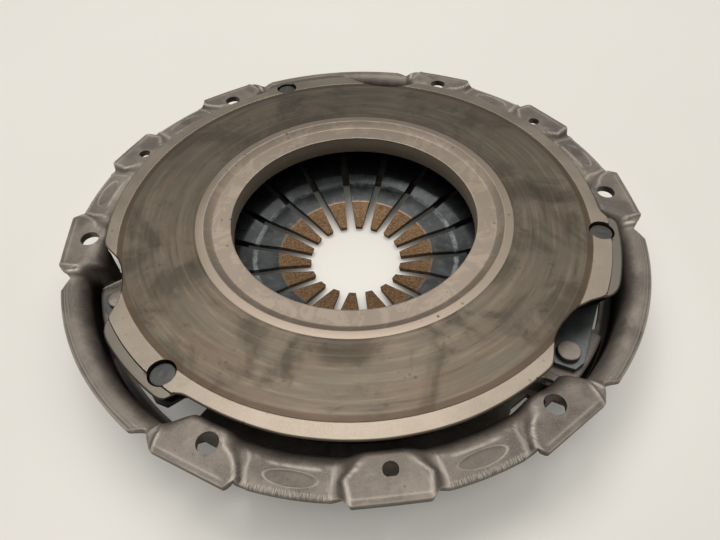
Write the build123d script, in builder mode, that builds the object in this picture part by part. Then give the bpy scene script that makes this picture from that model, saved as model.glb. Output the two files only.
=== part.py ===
"""Clutch pressure plate assembly: pressed cover, cast plate, diaphragm spring, drive straps, rivets.

Millimetres and degrees. The origin is the centre of the bolt circle on the bolting face of the cover.
+Z points to the flywheel, so the friction face is up and the finger tips are the lowest points.
Angles are counted counter-clockwise about +Z. The plate stands at its free height, with no load on it.
"""

import os
from math import cos, hypot, pi, radians, sin, tan

from build123d import *

# ---------------------------------------------------------------- driving dimensions: layout
groups = 3  # flange segments, pockets, lugs and strap packs round the cover
group_pitch = 360 / groups
first_segment = -90.0  # direction of the middle of the first flange segment
first_pocket = first_segment + group_pitch / 2

# cover: bolting flange
bolt_circle = 268.0
bolt_hole = 9.0
bolt_offset = 30.0  # from the middle of a segment to each of its two bolt holes
dowel_hole = 6.3
sheet = 3.5  # thickness of the pressed steel
pad_rise = 2.0  # bolting pads above the flange between them
dowel_pad_zone = 7.4  # the raised zones of the flange, as angles from the middle of a segment
bolt_pad_zone = 22.9
flange_width = 18.9  # from the inside of the wall
flange_start_angle = 8.5
flange_end_angle = 21.65
dowel_pad_reach = 2.4  # how far the pads' corners stand out past the flange's edge
dowel_pad_corner_angle = 5.85
bolt_pad_reach = 2.8
bolt_pad_corner_angle = 23.75
bolt_pad_far_reach = 2.15
bolt_pad_far_angle = 36.65
notch_depth = 0.8  # small notch beside each pad
dowel_notch_angle = 7.3
bolt_notch_angle = 22.95
lip_notch_depth = 3.3  # V-shaped notch between a bolting pad and the lip of a pocket
lip_notch_angle = 39.9
lip_corner_angle = 42.0
notch_round = 1.4

# cover: wall, pockets and back
wall_inset = 8.7  # from the bolt circle in to the inside of the wall under the segments
flange_bend = 6.0  # bend radii are those of the middle of the sheet
pad_bend = 2.2
floor_bend = 7.0
pocket_lip_width = 11.0
pocket_bend = 5.8
pocket_floor_bend = 4.0
pocket_half_angle = 21.4
pocket_cheek_angle = 1.7  # thickness of a pocket's end wall, as an angle
dish_depth = 5.7  # the back dips by this much to the rim of the centre opening
opening_radius = 62.5
rim_land = 5.0

# cover: strap seats and openings
seat_depth = 15.7  # top of the seat below the bolting face
seat_inner_reach = 10.7  # from the strap rivets in to the edge of the seat
seat_end_angle = -6.0  # angles from the middle of the pocket; the seat starts at the end wall
window_start_angle = -4.3
window_end_angle = 19.8
window_corner = 3.0
vent_start_angle = -33.0
vent_end_angle = -26.5
vent_top_depth = 5.0
vent_reach = 9.1  # how far the vent runs in from the wall across the back

# pressure plate casting
face_height = 4.8  # friction face above the bolting face, with the plate free
plate_thickness = 11.6
bore_radius = 62.75
face_inner_radius = 76.0  # the face ends here, and a slope leads down to the bore flat
slope_inner_radius = 71.5
bore_flat_drop = 2.8
worn_inner_margin = 4.2  # widths of the face left inside and outside the band rubbed by the clutch disc
worn_outer_margin = 6.45
worn_depth = 0.15
ridge_inset = 2.5  # the spring's edge stands out past the middle of the ridge that bears on it
ridge_height = 6.8
ridge_tip_width = 3.0
ridge_root_width = 7.0

# lugs of the plate: angles from the middle of the pocket
lug_reach = 8.7  # from the strap rivets out to the edge of the lug
lug_step_width = 4.7
lug_step_drop = 0.9
lug_start_angle = -3.4
lug_end_angle = 19.6
lug_corner = 4.0
scoop_points = ((3.6, -4.1), (-4.4, -9.2), (-6.5, -15.4), (-5.1, -20.2), (0.7, -24.8))  # reach, angle
rivet_recess = 12.2
rivet_recess_depth = 4.3

# diaphragm spring
finger_count = 18
first_slot = 10.0
spring_thickness = 2.5
cone_angle = 14.8
cone_inner_radius = 80.0
crank_outer_radius = 62.5
crank_inner_radius = 56.4
tip_bend_radius = 41.9
tip_radius = 24.9
root_slope = 11.0  # slopes of the four stretches of a finger, from the cone to the tip
crank_slope = 21.5
middle_slope = 7.85
tip_slope = 14.8
slot_width = 4.2
slot_widening_radius = 62.0
slot_wide_width = 5.2
eye_width = 9.6  # wide end of each slot, where the spacer rivets pass
eye_length = 9.5
eye_inset = 1.3  # from the fulcrum rings in to the eye
eye_corner = 2.0

# fulcrum rings and spacer rivets
lever_arm = 15.4  # from the fulcrum rings out to the plate's ridge
fulcrum_wire = 3.8
spacer_rivet_count = 9
spacer_shoulder = 7.0
spacer_head = 13.6
spacer_head_height = 2.6
spacer_stem = 5.6
spacer_tail = 10.6
spacer_tail_height = 2.2

# drive straps and their rivets
leaf_count = 3
leaf_thickness = 0.8
strap_width = 15.0
strap_end = 7.42  # from each strap rivet to the end of the strap
strap_flat = 19.0  # straight length at each end, before the slope
strap_corner_length = 5.0
strap_corner_width = 3.0
strap_rivet_inset = 3.3  # from the wall of the cover in to the circle of the strap rivets
strap_rivet_angle = 15.0  # each rivet's angle to the middle of the pocket
strap_rivet_shank = 6.0
strap_rivet_head = 10.5
plate_rivet_head_height = 2.85
cover_rivet_head_height = 2.4
strap_rivet_tail = 9.2
strap_rivet_tail_height = 2.3

# clearances
plate_gap = 1.55  # between the rim of the plate and the wall of the cover
lug_gap = 3.7  # between a lug and the wall of its pocket
trough_width = 2.4  # between a strap seat and the wall of its pocket
window_margin = 4.8  # between a window and the wall of its pocket
strap_gap = 0.84  # between the edge of the spring and the straps
dish_gap = 1.1  # between the spacer rivets' tails and the dip of the back
play = 0.03  # parts that are pressed together on the real assembly
shank_play = 0.05
shoulder_play = 0.2
cut = 1.0  # how far a cutting tool runs past the surface that it cuts

# ---------------------------------------------------------------- worked out from those
segment_angles = [first_segment + group_pitch * i for i in range(groups)]
pocket_angles = [first_pocket + group_pitch * i for i in range(groups)]
finger_pitch = 360 / finger_count

wall_radius = bolt_circle / 2 - wall_inset
flange_radius = wall_radius + flange_width
dowel_pad_radius = flange_radius + dowel_pad_reach
bolt_pad_radius = flange_radius + bolt_pad_reach
bolt_pad_far_radius = flange_radius + bolt_pad_far_reach
notch_radius = flange_radius - notch_depth
lip_notch_radius = flange_radius - lip_notch_depth

strap_rivet_radius = wall_radius - strap_rivet_inset
strap_rivet_circle = 2 * strap_rivet_radius
strap_rivet_across = strap_rivet_radius * cos(radians(strap_rivet_angle))
strap_inner_edge = strap_rivet_across - strap_width / 2
strap_length = 2 * (strap_rivet_radius * sin(radians(strap_rivet_angle)) + strap_end)
strap_slope_half = strap_length / 2 - strap_flat

plate_radius = wall_radius - plate_gap
worn_inner_radius = face_inner_radius + worn_inner_margin
worn_outer_radius = plate_radius - worn_outer_margin
lug_radius = strap_rivet_radius + lug_reach
lug_step_radius = lug_radius - lug_step_width
pocket_wall_radius = lug_radius + lug_gap
pocket_lip_radius = pocket_wall_radius + pocket_lip_width
seat_outer_radius = pocket_wall_radius - trough_width
seat_inner_radius = strap_rivet_radius - seat_inner_reach
window_outer_radius = pocket_wall_radius - window_margin
seat_start_angle = -(pocket_half_angle + pocket_cheek_angle / 2)
pocket_floor_radius = seat_inner_radius - cut  # the back inside this radius is a full ring
vent_inner_radius = wall_radius - vent_reach

spring_radius = strap_inner_edge - strap_gap
ridge_radius = spring_radius - ridge_inset
fulcrum_radius = ridge_radius - lever_arm
eye_outer_radius = fulcrum_radius - eye_inset
eye_inner_radius = eye_outer_radius - eye_length

plate_under = face_height - plate_thickness
ridge_bottom = plate_under - ridge_height
contact_radius = ridge_radius + ridge_tip_width / 2
cone_rise = tan(radians(cone_angle))
cone_lean = cos(radians(cone_angle))
spring_height = spring_thickness / cone_lean  # thickness measured along Z on the cone


def cone_top(radius):
    """Height of the spring's upper face on the cone."""
    return ridge_bottom - play - (contact_radius - radius) * cone_rise


ring_offset = (fulcrum_wire / 2 + play) / cone_lean
upper_ring_height = cone_top(fulcrum_radius) + ring_offset
lower_ring_height = cone_top(fulcrum_radius) - spring_height - ring_offset
floor_top = lower_ring_height - fulcrum_wire / 2 - play  # inside of the cover's back
floor_under = floor_top - sheet
floor_middle = floor_top - sheet / 2
rim_middle = floor_middle - dish_depth

flange_top = -pad_rise
flange_under = flange_top - sheet
flange_middle = flange_top - sheet / 2
wall_middle = wall_radius + sheet / 2
pocket_wall_middle = pocket_wall_radius + sheet / 2
seat_top = -seat_depth
seat_under = seat_top - sheet

spacer_radius = fulcrum_radius - fulcrum_wire / 2 - spacer_shoulder / 2 - shoulder_play
spacer_circle = 2 * spacer_radius
dish_radius = spacer_radius - spacer_tail / 2 - dish_gap  # the back starts to dip here
spacer_head_under = upper_ring_height + fulcrum_wire / 2 + play

strap_pack = leaf_count * leaf_thickness
strap_cover_top = seat_top + strap_pack
strap_plate_top = plate_under
recess_bottom = face_height - rivet_recess_depth


def polar(radius, angle):
    """A point on the XY plane."""
    return (radius * cos(radians(angle)), radius * sin(radians(angle)))


def radial_plane(angle):
    """The upright plane through the axis, with its X along the radius at that angle and its Y up."""
    outward = (cos(radians(angle)), sin(radians(angle)), 0)
    normal = (sin(radians(angle)), -cos(radians(angle)), 0)
    return Plane(origin=(0, 0, 0), x_dir=outward, z_dir=normal)


def sector(inner, outer, start, end):
    """Adds a ring sector to the sketch that is open."""
    middle = (start + end) / 2
    with BuildLine() as outline:
        ThreePointArc(polar(outer, start), polar(outer, middle), polar(outer, end))
        Line(polar(outer, end), polar(inner, end))
        ThreePointArc(polar(inner, end), polar(inner, middle), polar(inner, start))
        Line(polar(inner, start), polar(outer, start))
    make_face(outline.line.edges())


def export(part, name):
    """Writes one piece under its own name."""
    part.label = name
    export_step(part, f"parts/{name}.step")


# ---------------------------------------------------------------- cover
def add_sheet_section(points, bends, start, arc):
    """Revolves a bent strip of sheet, whose middle line is given, through an arc about Z."""
    with BuildSketch(radial_plane(start)) as section:
        with BuildLine() as middle_line:
            FilletPolyline(*points, radius=bends)
        trace(middle_line.line, line_width=sheet)
    revolve(section.sketch, axis=Axis.Z, revolution_arc=arc)


def add_segment_zone(start, end, top):
    """Flange, wall and back over part of a segment, with the flange's upper face at one height."""
    with_pad = top > flange_top
    add_sheet_section(
        [
            (bolt_pad_radius + cut, top - sheet / 2),
            (wall_middle, top - sheet / 2),
            (wall_middle, floor_middle),
            (pocket_floor_radius, floor_middle),
        ],
        [pad_bend if with_pad else flange_bend, floor_bend],
        start,
        end - start,
    )


def trim_to_outline():
    """Cuts the rim of the cover to its outline: flange, pads, pocket lips and the notches between."""
    half_edge = (
        (dowel_pad_radius, dowel_pad_corner_angle),
        (notch_radius, dowel_notch_angle),
        (flange_radius, flange_start_angle),
        (flange_radius, flange_end_angle),
        (notch_radius, bolt_notch_angle),
        (bolt_pad_radius, bolt_pad_corner_angle),
        (bolt_pad_far_radius, bolt_pad_far_angle),
        (lip_notch_radius, lip_notch_angle),
        (pocket_lip_radius, lip_corner_angle),
    )
    flange_middle_angle = (flange_start_angle + flange_end_angle) / 2
    with BuildSketch(Plane.XY.offset(rim_middle - sheet)) as outline:
        with BuildLine() as edge:
            for segment in segment_angles:
                for side in (-1, 1):
                    corners = [polar(radius, segment + side * angle) for radius, angle in half_edge]
                    Polyline(*corners[:3])
                    arc_middle = polar(flange_radius, segment + side * flange_middle_angle)
                    ThreePointArc(corners[2], arc_middle, corners[3])
                    Polyline(*corners[3:])
                Line(
                    polar(dowel_pad_radius, segment - dowel_pad_corner_angle),
                    polar(dowel_pad_radius, segment + dowel_pad_corner_angle),
                )
                ThreePointArc(
                    polar(pocket_lip_radius, segment + lip_corner_angle),
                    polar(pocket_lip_radius, segment + group_pitch / 2),
                    polar(pocket_lip_radius, segment + group_pitch - lip_corner_angle),
                )
        make_face()
        notches = [v for v in outline.vertices() if hypot(v.X, v.Y) < notch_radius + play]
        fillet(notches, notch_round)
    extrude(outline.sketch, amount=sheet - rim_middle + cut, mode=Mode.INTERSECT)


def add_pocket(pocket):
    """The bulged part of the cover that clears one lug of the plate, with its two end walls."""
    lip = (pocket_lip_radius, flange_middle)
    corner = (pocket_wall_middle, flange_middle)
    foot = (pocket_wall_middle, floor_middle)
    start = (pocket_floor_radius, floor_middle)
    add_sheet_section(
        [lip, corner, foot, start],
        [pocket_bend, pocket_floor_bend],
        pocket - pocket_half_angle,
        2 * pocket_half_angle,
    )
    outside = pocket_wall_radius + sheet
    cheek = [
        (wall_radius, floor_under),
        (outside, floor_under),
        (outside, flange_middle - pocket_bend - sheet / 2),
        (lip_notch_radius, flange_under),
        (lip_notch_radius, flange_top),
        (wall_radius + sheet, flange_top),
        (wall_radius, flange_under),
    ]
    for side in (-1, 1):
        middle = pocket + side * pocket_half_angle
        with BuildSketch(radial_plane(middle - pocket_cheek_angle / 2)) as cheek_section:
            with BuildLine():
                Polyline(*cheek, close=True)
            make_face()
        revolve(cheek_section.sketch, axis=Axis.Z, revolution_arc=pocket_cheek_angle)


def add_seat(pocket):
    """The raised land that carries the cover end of a strap pack, hollow from behind."""
    start = pocket + seat_start_angle
    end = pocket + seat_end_angle
    wall_angle = 360 * sheet / (2 * pi * seat_outer_radius)
    with BuildSketch(Plane.XY.offset(floor_under)) as land:
        sector(seat_inner_radius, seat_outer_radius, start, end)
    extrude(land.sketch, amount=seat_top - floor_under)
    with BuildSketch(Plane.XY.offset(floor_under)) as hollow:
        sector(seat_inner_radius + sheet, seat_outer_radius - sheet, start + wall_angle, end - wall_angle)
    extrude(hollow.sketch, amount=seat_under - floor_under, mode=Mode.SUBTRACT)


def cut_pocket_openings(pocket):
    """The window under a strap's plate end, and the vent in the corner beside the pocket."""
    with BuildSketch(Plane.XY.offset(floor_under - cut)) as window:
        sector(
            seat_inner_radius,
            window_outer_radius,
            pocket + window_start_angle,
            pocket + window_end_angle,
        )
        fillet(window.vertices(), window_corner)
    extrude(window.sketch, amount=sheet + 2 * cut, mode=Mode.SUBTRACT)
    with BuildSketch(Plane.XY.offset(floor_under - cut)) as vent:
        sector(
            vent_inner_radius,
            pocket_wall_radius,
            pocket + vent_start_angle,
            pocket + vent_end_angle,
        )
        fillet(vent.vertices().sort_by(lambda v: hypot(v.X, v.Y))[:2], window_corner)
    extrude(vent.sketch, amount=-vent_top_depth - floor_under + cut, mode=Mode.SUBTRACT)


def cut_holes(circle, angles, diameter, low, high):
    """Upright round holes on a circle, each through the heights from low to high."""
    with BuildSketch(Plane.XY.offset(low)) as holes:
        for angle in angles:
            with Locations(polar(circle / 2, angle)):
                Circle(diameter / 2)
    extrude(holes.sketch, amount=high - low, mode=Mode.SUBTRACT)


bolt_angles = [s + side * bolt_offset for s in segment_angles for side in (-1, 1)]
spacer_angles = [first_slot + 360 / spacer_rivet_count * i for i in range(spacer_rivet_count)]
cover_rivet_angles = [p - strap_rivet_angle for p in pocket_angles]
plate_rivet_angles = [p + strap_rivet_angle for p in pocket_angles]

with BuildPart() as cover:
    add_sheet_section(
        [
            (pocket_floor_radius, floor_middle),
            (dish_radius, floor_middle),
            (opening_radius + rim_land, rim_middle),
            (opening_radius, rim_middle),
        ],
        [sheet, sheet],
        0,
        360,
    )
    for segment in segment_angles:
        add_segment_zone(segment - dowel_pad_zone, segment + dowel_pad_zone, 0)
        for side in (-1, 1):
            inner = segment + side * dowel_pad_zone
            middle = segment + side * bolt_pad_zone
            outer = segment + side * (group_pitch / 2 - pocket_half_angle)
            add_segment_zone(min(inner, middle), max(inner, middle), flange_top)
            add_segment_zone(min(middle, outer), max(middle, outer), 0)
    for pocket in pocket_angles:
        add_pocket(pocket)
    trim_to_outline()
    for pocket in pocket_angles:
        add_seat(pocket)
        cut_pocket_openings(pocket)
    cut_holes(bolt_circle, bolt_angles, bolt_hole, flange_under - cut, cut)
    cut_holes(bolt_circle, segment_angles, dowel_hole, flange_under - cut, cut)
    cut_holes(spacer_circle, spacer_angles, spacer_stem + 2 * shank_play, floor_under - cut, floor_top + cut)
    cut_holes(
        strap_rivet_circle,
        cover_rivet_angles,
        strap_rivet_shank + 2 * shank_play,
        seat_under - cut,
        seat_top + cut,
    )

os.makedirs("parts", exist_ok=True)
export(cover.part, "cover")

# ---------------------------------------------------------------- pressure plate
with BuildPart() as pressure_plate:
    face_profile = [
        (bore_radius, plate_under),
        (bore_radius, face_height - bore_flat_drop),
        (slope_inner_radius, face_height - bore_flat_drop),
        (face_inner_radius, face_height),
        (worn_inner_radius, face_height),
        (worn_inner_radius, face_height - worn_depth),
        (worn_outer_radius, face_height - worn_depth),
        (worn_outer_radius, face_height),
        (plate_radius, face_height),
        (plate_radius, plate_under),
        (ridge_radius + ridge_root_width / 2, plate_under),
        (ridge_radius + ridge_tip_width / 2, ridge_bottom),
        (ridge_radius - ridge_tip_width / 2, ridge_bottom),
        (ridge_radius - ridge_root_width / 2, plate_under),
    ]
    with BuildSketch(Plane.XZ):
        with BuildLine():
            Polyline(*face_profile, close=True)
        make_face()
    revolve(axis=Axis.Z)
    for pocket in pocket_angles:
        with BuildSketch(Plane.XY.offset(plate_under)) as lug:
            sector(
                worn_outer_radius + cut,
                lug_radius,
                pocket + lug_start_angle,
                pocket + lug_end_angle,
            )
            outer_corners = lug.vertices().filter_by(lambda v: v.X**2 + v.Y**2 > lug_step_radius**2)
            fillet(outer_corners, lug_corner)
        extrude(amount=plate_thickness)
        with BuildSketch(Plane.XY.offset(face_height - lug_step_drop)):
            sector(
                lug_step_radius,
                lug_radius + cut,
                pocket + lug_start_angle - cut,
                pocket + lug_end_angle + cut,
            )
        extrude(amount=lug_step_drop + cut, mode=Mode.SUBTRACT)
        scoop = [polar(strap_rivet_radius + reach, pocket + angle) for reach, angle in scoop_points]
        with BuildSketch(Plane.XY.offset(plate_under - cut)):
            with BuildLine():
                Spline(*scoop)
                Polyline(
                    scoop[-1],
                    polar(lug_radius + cut, pocket + scoop_points[-1][1] - cut),
                    polar(lug_radius + cut, pocket + scoop_points[0][1]),
                    scoop[0],
                )
            make_face()
        extrude(amount=plate_thickness + 2 * cut, mode=Mode.SUBTRACT)
    cut_holes(
        strap_rivet_circle,
        plate_rivet_angles,
        rivet_recess,
        recess_bottom,
        face_height + cut,
    )
    cut_holes(
        strap_rivet_circle,
        plate_rivet_angles,
        strap_rivet_shank + 2 * shank_play,
        plate_under - cut,
        recess_bottom + cut,
    )
export(pressure_plate.part, "pressure_plate")

# ---------------------------------------------------------------- diaphragm spring
finger_stretches = (
    (crank_outer_radius, root_slope),
    (crank_inner_radius, crank_slope),
    (tip_bend_radius, middle_slope),
    (tip_radius, tip_slope),
)
spring_top_line = [(spring_radius, cone_top(spring_radius)), (cone_inner_radius, cone_top(cone_inner_radius))]
for radius, slope in finger_stretches:
    last_radius, last_height = spring_top_line[-1]
    spring_top_line.append((radius, last_height - (last_radius - radius) * tan(radians(slope))))
spring_under_line = [(radius, height - spring_height) for radius, height in reversed(spring_top_line)]
spring_low = spring_under_line[0][1] - cut
spring_high = spring_top_line[0][1] + cut

with BuildPart() as diaphragm_spring:
    with BuildSketch(Plane.XZ):
        with BuildLine():
            Polyline(*spring_top_line, *spring_under_line, close=True)
        make_face()
    revolve(axis=Axis.Z)
    with BuildSketch(Plane.XY.offset(spring_low)) as slots:
        eye_middle = (eye_inner_radius + eye_outer_radius) / 2
        with PolarLocations(eye_middle, finger_count, start_angle=first_slot):
            RectangleRounded(eye_length, eye_width, eye_corner)
        with PolarLocations((tip_radius - cut + eye_middle) / 2, finger_count, start_angle=first_slot):
            Rectangle(eye_middle - tip_radius + cut, slot_width)
        with PolarLocations((slot_widening_radius + eye_middle) / 2, finger_count, start_angle=first_slot):
            Rectangle(eye_middle - slot_widening_radius, slot_wide_width)
    extrude(amount=spring_high - spring_low, mode=Mode.SUBTRACT)
export(diaphragm_spring.part, "diaphragm_spring")

# ---------------------------------------------------------------- fulcrum rings
for name, height in (("upper_fulcrum_ring", upper_ring_height), ("lower_fulcrum_ring", lower_ring_height)):
    with BuildPart() as fulcrum_ring:
        with BuildSketch(Plane.XZ):
            with Locations((fulcrum_radius, height)):
                Circle(fulcrum_wire / 2)
        revolve(axis=Axis.Z)
    export(fulcrum_ring.part, name)


# ---------------------------------------------------------------- rivets
def add_disc(angle, circle, diameter, low, high):
    """Adds one round step of a rivet that stands on a circle."""
    with BuildSketch(Plane.XY.offset(low)) as disc:
        with Locations(polar(circle / 2, angle)):
            Circle(diameter / 2)
    extrude(disc.sketch, amount=high - low)


for number, angle in enumerate(spacer_angles, 1):
    head_top = spacer_head_under + spacer_head_height
    with BuildPart() as spacer_rivet:
        add_disc(angle, spacer_circle, spacer_head, spacer_head_under, head_top)
        add_disc(angle, spacer_circle, spacer_shoulder, floor_top, spacer_head_under)
        add_disc(angle, spacer_circle, spacer_stem, floor_under, floor_top)
        add_disc(angle, spacer_circle, spacer_tail, floor_under - spacer_tail_height, floor_under)
        chamfer(spacer_rivet.edges().group_by(Axis.Z)[-1], spacer_head_height / 4)
        chamfer(spacer_rivet.edges().group_by(Axis.Z)[0], spacer_tail_height / 3)
    export(spacer_rivet.part, f"spacer_rivet_{number}")

for number, angle in enumerate(cover_rivet_angles, 1):
    head_top = strap_cover_top + cover_rivet_head_height
    tail_under = seat_under - strap_rivet_tail_height
    with BuildPart() as strap_rivet_cover:
        add_disc(angle, strap_rivet_circle, strap_rivet_head, strap_cover_top, head_top)
        add_disc(angle, strap_rivet_circle, strap_rivet_shank, seat_under, strap_cover_top)
        add_disc(angle, strap_rivet_circle, strap_rivet_tail, tail_under, seat_under)
        fillet(strap_rivet_cover.edges().group_by(Axis.Z)[-1], cover_rivet_head_height / 3)
        chamfer(strap_rivet_cover.edges().group_by(Axis.Z)[0], strap_rivet_tail_height / 3)
    export(strap_rivet_cover.part, f"strap_rivet_cover_{number}")

for number, angle in enumerate(plate_rivet_angles, 1):
    head_top = recess_bottom + plate_rivet_head_height
    shank_low = strap_plate_top - strap_pack
    tail_under = shank_low - strap_rivet_tail_height
    with BuildPart() as strap_rivet_plate:
        add_disc(angle, strap_rivet_circle, strap_rivet_head, recess_bottom, head_top)
        add_disc(angle, strap_rivet_circle, strap_rivet_shank, shank_low, recess_bottom)
        add_disc(angle, strap_rivet_circle, strap_rivet_tail, tail_under, shank_low)
        fillet(strap_rivet_plate.edges().group_by(Axis.Z)[-1], plate_rivet_head_height / 4)
        chamfer(strap_rivet_plate.edges().group_by(Axis.Z)[0], strap_rivet_tail_height / 3)
    export(strap_rivet_plate.part, f"strap_rivet_plate_{number}")

# ---------------------------------------------------------------- drive straps
for strap_number, pocket in enumerate(pocket_angles, 1):
    for leaf_number in range(1, leaf_count + 1):
        drop = (leaf_number - 1) * leaf_thickness
        leaf_top = [
            (-strap_length / 2, strap_cover_top - drop),
            (-strap_slope_half, strap_cover_top - drop),
            (strap_slope_half, strap_plate_top - drop),
            (strap_length / 2, strap_plate_top - drop),
        ]
        leaf_under = [(along, height - leaf_thickness) for along, height in reversed(leaf_top)]
        outward = (*polar(1, pocket), 0)
        along_strap = (*polar(1, pocket + 90), 0)
        side_origin = (*polar(strap_inner_edge, pocket), 0)
        with BuildPart() as leaf:
            with BuildSketch(Plane(origin=side_origin, x_dir=along_strap, z_dir=outward)):
                with BuildLine():
                    Polyline(*leaf_top, *leaf_under, close=True)
                make_face()
            extrude(amount=strap_width)
            corner_edges = leaf.edges().filter_by(Axis.Z)
            chamfer(corner_edges, strap_corner_width, strap_corner_length)
            cut_holes(
                strap_rivet_circle,
                [pocket - strap_rivet_angle, pocket + strap_rivet_angle],
                strap_rivet_shank + 2 * shank_play,
                seat_under,
                face_height,
            )
        export(leaf.part, f"strap_{strap_number}_leaf_{leaf_number}")
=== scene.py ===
"""Looks of a diaphragm-spring clutch pressure plate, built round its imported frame.

Shapes are worked out in millimetres and become metres in make_piece, with +Z towards the flywheel.
Angles are in degrees about +Z, counter-clockwise from +X, and psi is the angle from the middle of the
nearest of the cover's three pockets. Every piece is a surface on a grid of rows (along a profile) and
columns (round the axis).
"""

import bpy
import numpy as np
from bpy.props import FloatProperty, FloatVectorProperty, PointerProperty
from bpy.types import Operator, Panel, PropertyGroup
from mathutils import Matrix


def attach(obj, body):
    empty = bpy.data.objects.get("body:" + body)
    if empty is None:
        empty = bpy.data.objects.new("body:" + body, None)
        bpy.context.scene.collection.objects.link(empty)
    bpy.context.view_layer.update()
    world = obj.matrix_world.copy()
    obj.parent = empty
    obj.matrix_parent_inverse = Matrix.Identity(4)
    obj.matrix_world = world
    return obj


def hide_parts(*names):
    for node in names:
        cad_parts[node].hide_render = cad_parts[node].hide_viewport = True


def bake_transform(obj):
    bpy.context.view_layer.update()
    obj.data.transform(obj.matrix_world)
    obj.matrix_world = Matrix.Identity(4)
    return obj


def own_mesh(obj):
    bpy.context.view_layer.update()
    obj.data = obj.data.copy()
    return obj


bl_info = {
    "name": "Clutch Pressure Plate",
    "version": (1, 0, 0),
    "blender": (4, 5, 0),
    "location": "View3D > Sidebar > Clutch",
    "description": "Builds the cover, plate, spring, straps and rivets of a clutch pressure plate",
    "category": "Object",
}

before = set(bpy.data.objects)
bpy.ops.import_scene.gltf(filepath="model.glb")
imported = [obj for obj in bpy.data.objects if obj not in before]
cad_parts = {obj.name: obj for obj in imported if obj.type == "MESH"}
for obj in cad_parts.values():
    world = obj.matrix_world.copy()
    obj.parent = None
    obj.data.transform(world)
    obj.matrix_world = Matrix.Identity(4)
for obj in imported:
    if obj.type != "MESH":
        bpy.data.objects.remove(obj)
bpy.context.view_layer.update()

MM = 0.001
COVER_BODY = "cover_assembly"
PLATE_BODY = "plate"
POCKETS = [-30.0, 90.0, 210.0]
SHARP_ANGLE = 38.0  # faces that meet at more than this are shaded apart
BEVEL_ANGLE = 50.0  # and at more than this their edge is rounded


# ---------------------------------------------------------------- small maths
def ease(low, high, x):
    """0 below low, 1 above high, and 3t^2 - 2t^3 between, where t runs from 0 to 1."""
    t = np.clip((np.asarray(x, float) - low) / (high - low), 0.0, 1.0)
    return t * t * (3.0 - 2.0 * t)


def bump(x, middle, half):
    """A smooth hump: 1 at the middle, 0 at half away on either side, (1 - d^2)^2 between."""
    d = np.clip(np.abs(np.asarray(x, float) - middle) / half, 0.0, 1.0)
    return (1.0 - d * d) ** 2


def mix(a, b, share):
    """a where share is 0 and b where it is 1."""
    return a + (b - a) * share


def steps(*spans):
    """Joins stretches (start, end, step) into one rising list of samples, without the last end."""
    counts = [max(1, int(round((end - start) / step))) for start, end, step in spans]
    parts = [np.linspace(span[0], span[1], count, endpoint=False) for span, count in zip(spans, counts)]
    return np.concatenate(parts)


def smoothed(values, taps):
    """A moving average over an odd number of samples, with triangular weights."""
    kernel = np.bartlett(taps)
    return np.convolve(values, kernel / kernel.sum(), mode="same")


def thirds(psi):
    """The angles of one third of the object, repeated for each pocket, in radians."""
    return np.concatenate([np.radians(psi + pocket) for pocket in POCKETS])


def at(radius, angle):
    """A place in the XY plane from a radius and an angle in degrees."""
    return radius * np.cos(np.radians(angle)), radius * np.sin(np.radians(angle))


# ---------------------------------------------------------------- meshes
def wrapped(r, angle, z):
    """Points from radius, angle in radians and height, row by row."""
    x, y = r * np.cos(angle), r * np.sin(angle)
    return np.stack(np.broadcast_arrays(x, y, z), -1).reshape(-1, 3)


def grid_quads(rows, columns, closed_rows=False, closed_columns=True):
    """Quads of a grid whose point (row, column) has the number row * columns + column."""
    r = np.arange(rows if closed_rows else rows - 1)[:, None]
    c = np.arange(columns if closed_columns else columns - 1)[None, :]
    r2 = (r + 1) % rows
    c2 = (c + 1) % columns
    quads = np.stack([r * columns + c, r2 * columns + c, r2 * columns + c2, r * columns + c2], -1)
    return quads.reshape(-1, 4)


def point_normals(points, quads):
    """Normal at each point: the sum of the normals of the quads round it, each from its diagonals."""
    across = points[quads[:, 2]] - points[quads[:, 0]]
    along = points[quads[:, 3]] - points[quads[:, 1]]
    face = np.cross(across, along)
    total = np.zeros_like(points)
    for corner in range(4):
        np.add.at(total, quads[:, corner], face)
    return total / np.maximum(np.linalg.norm(total, axis=1, keepdims=True), 1e-12)


def open_edges(quads, count):
    """Directed edges (a, b) of the quads that no other quad runs along the other way."""
    a = quads.ravel().astype(np.int64)
    b = np.roll(quads, -1, axis=1).ravel().astype(np.int64)
    lone = ~np.isin(a * count + b, b * count + a)
    return np.stack([a[lone], b[lone]], 1)


def thicken(points, quads, thickness, normals, upper=None):
    """A sheet: the points, or the upper ones given for the same grid, then a second skin the thickness
    below the points along their normals, and a wall along every open edge."""
    count = len(points)
    a, b = open_edges(quads, count).T
    walls = np.stack([b, a, a + count, b + count], 1)
    skins = np.concatenate([points if upper is None else upper, points - normals * thickness])
    return skins, np.concatenate([quads, quads[:, ::-1] + count, walls])


def snap_to_circle(points, rim, centre, radius):
    """Moves the rim's points level onto an upright circle."""
    away = points[rim, :2] - centre
    points[rim, :2] = centre + away / np.linalg.norm(away, axis=1, keepdims=True) * radius


def inside_circle(middle, centre, radius):
    """Which middles of faces lie within an upright circle."""
    return np.hypot(*(middle[:, :2] - centre).T) < radius


def weld(points, quads):
    """Joins points that share a place to the nearest 0.001 mm."""
    keys = np.round(points * 1000).astype(np.int64)
    _, first, again = np.unique(keys, axis=0, return_index=True, return_inverse=True)
    return points[first], again.ravel()[quads]


def pole_faces(quads):
    """Splits faces into true quads and the triangles left where two corners of a quad are one point."""
    triangles = []
    flat = np.zeros(len(quads), bool)
    for k in range(4):
        same = (quads[:, k] == quads[:, (k + 1) % 4]) & ~flat
        triangles.append(quads[same][:, [k, (k + 2) % 4, (k + 3) % 4]])
        flat |= same
    return [quads[~flat], np.concatenate(triangles)]


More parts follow.
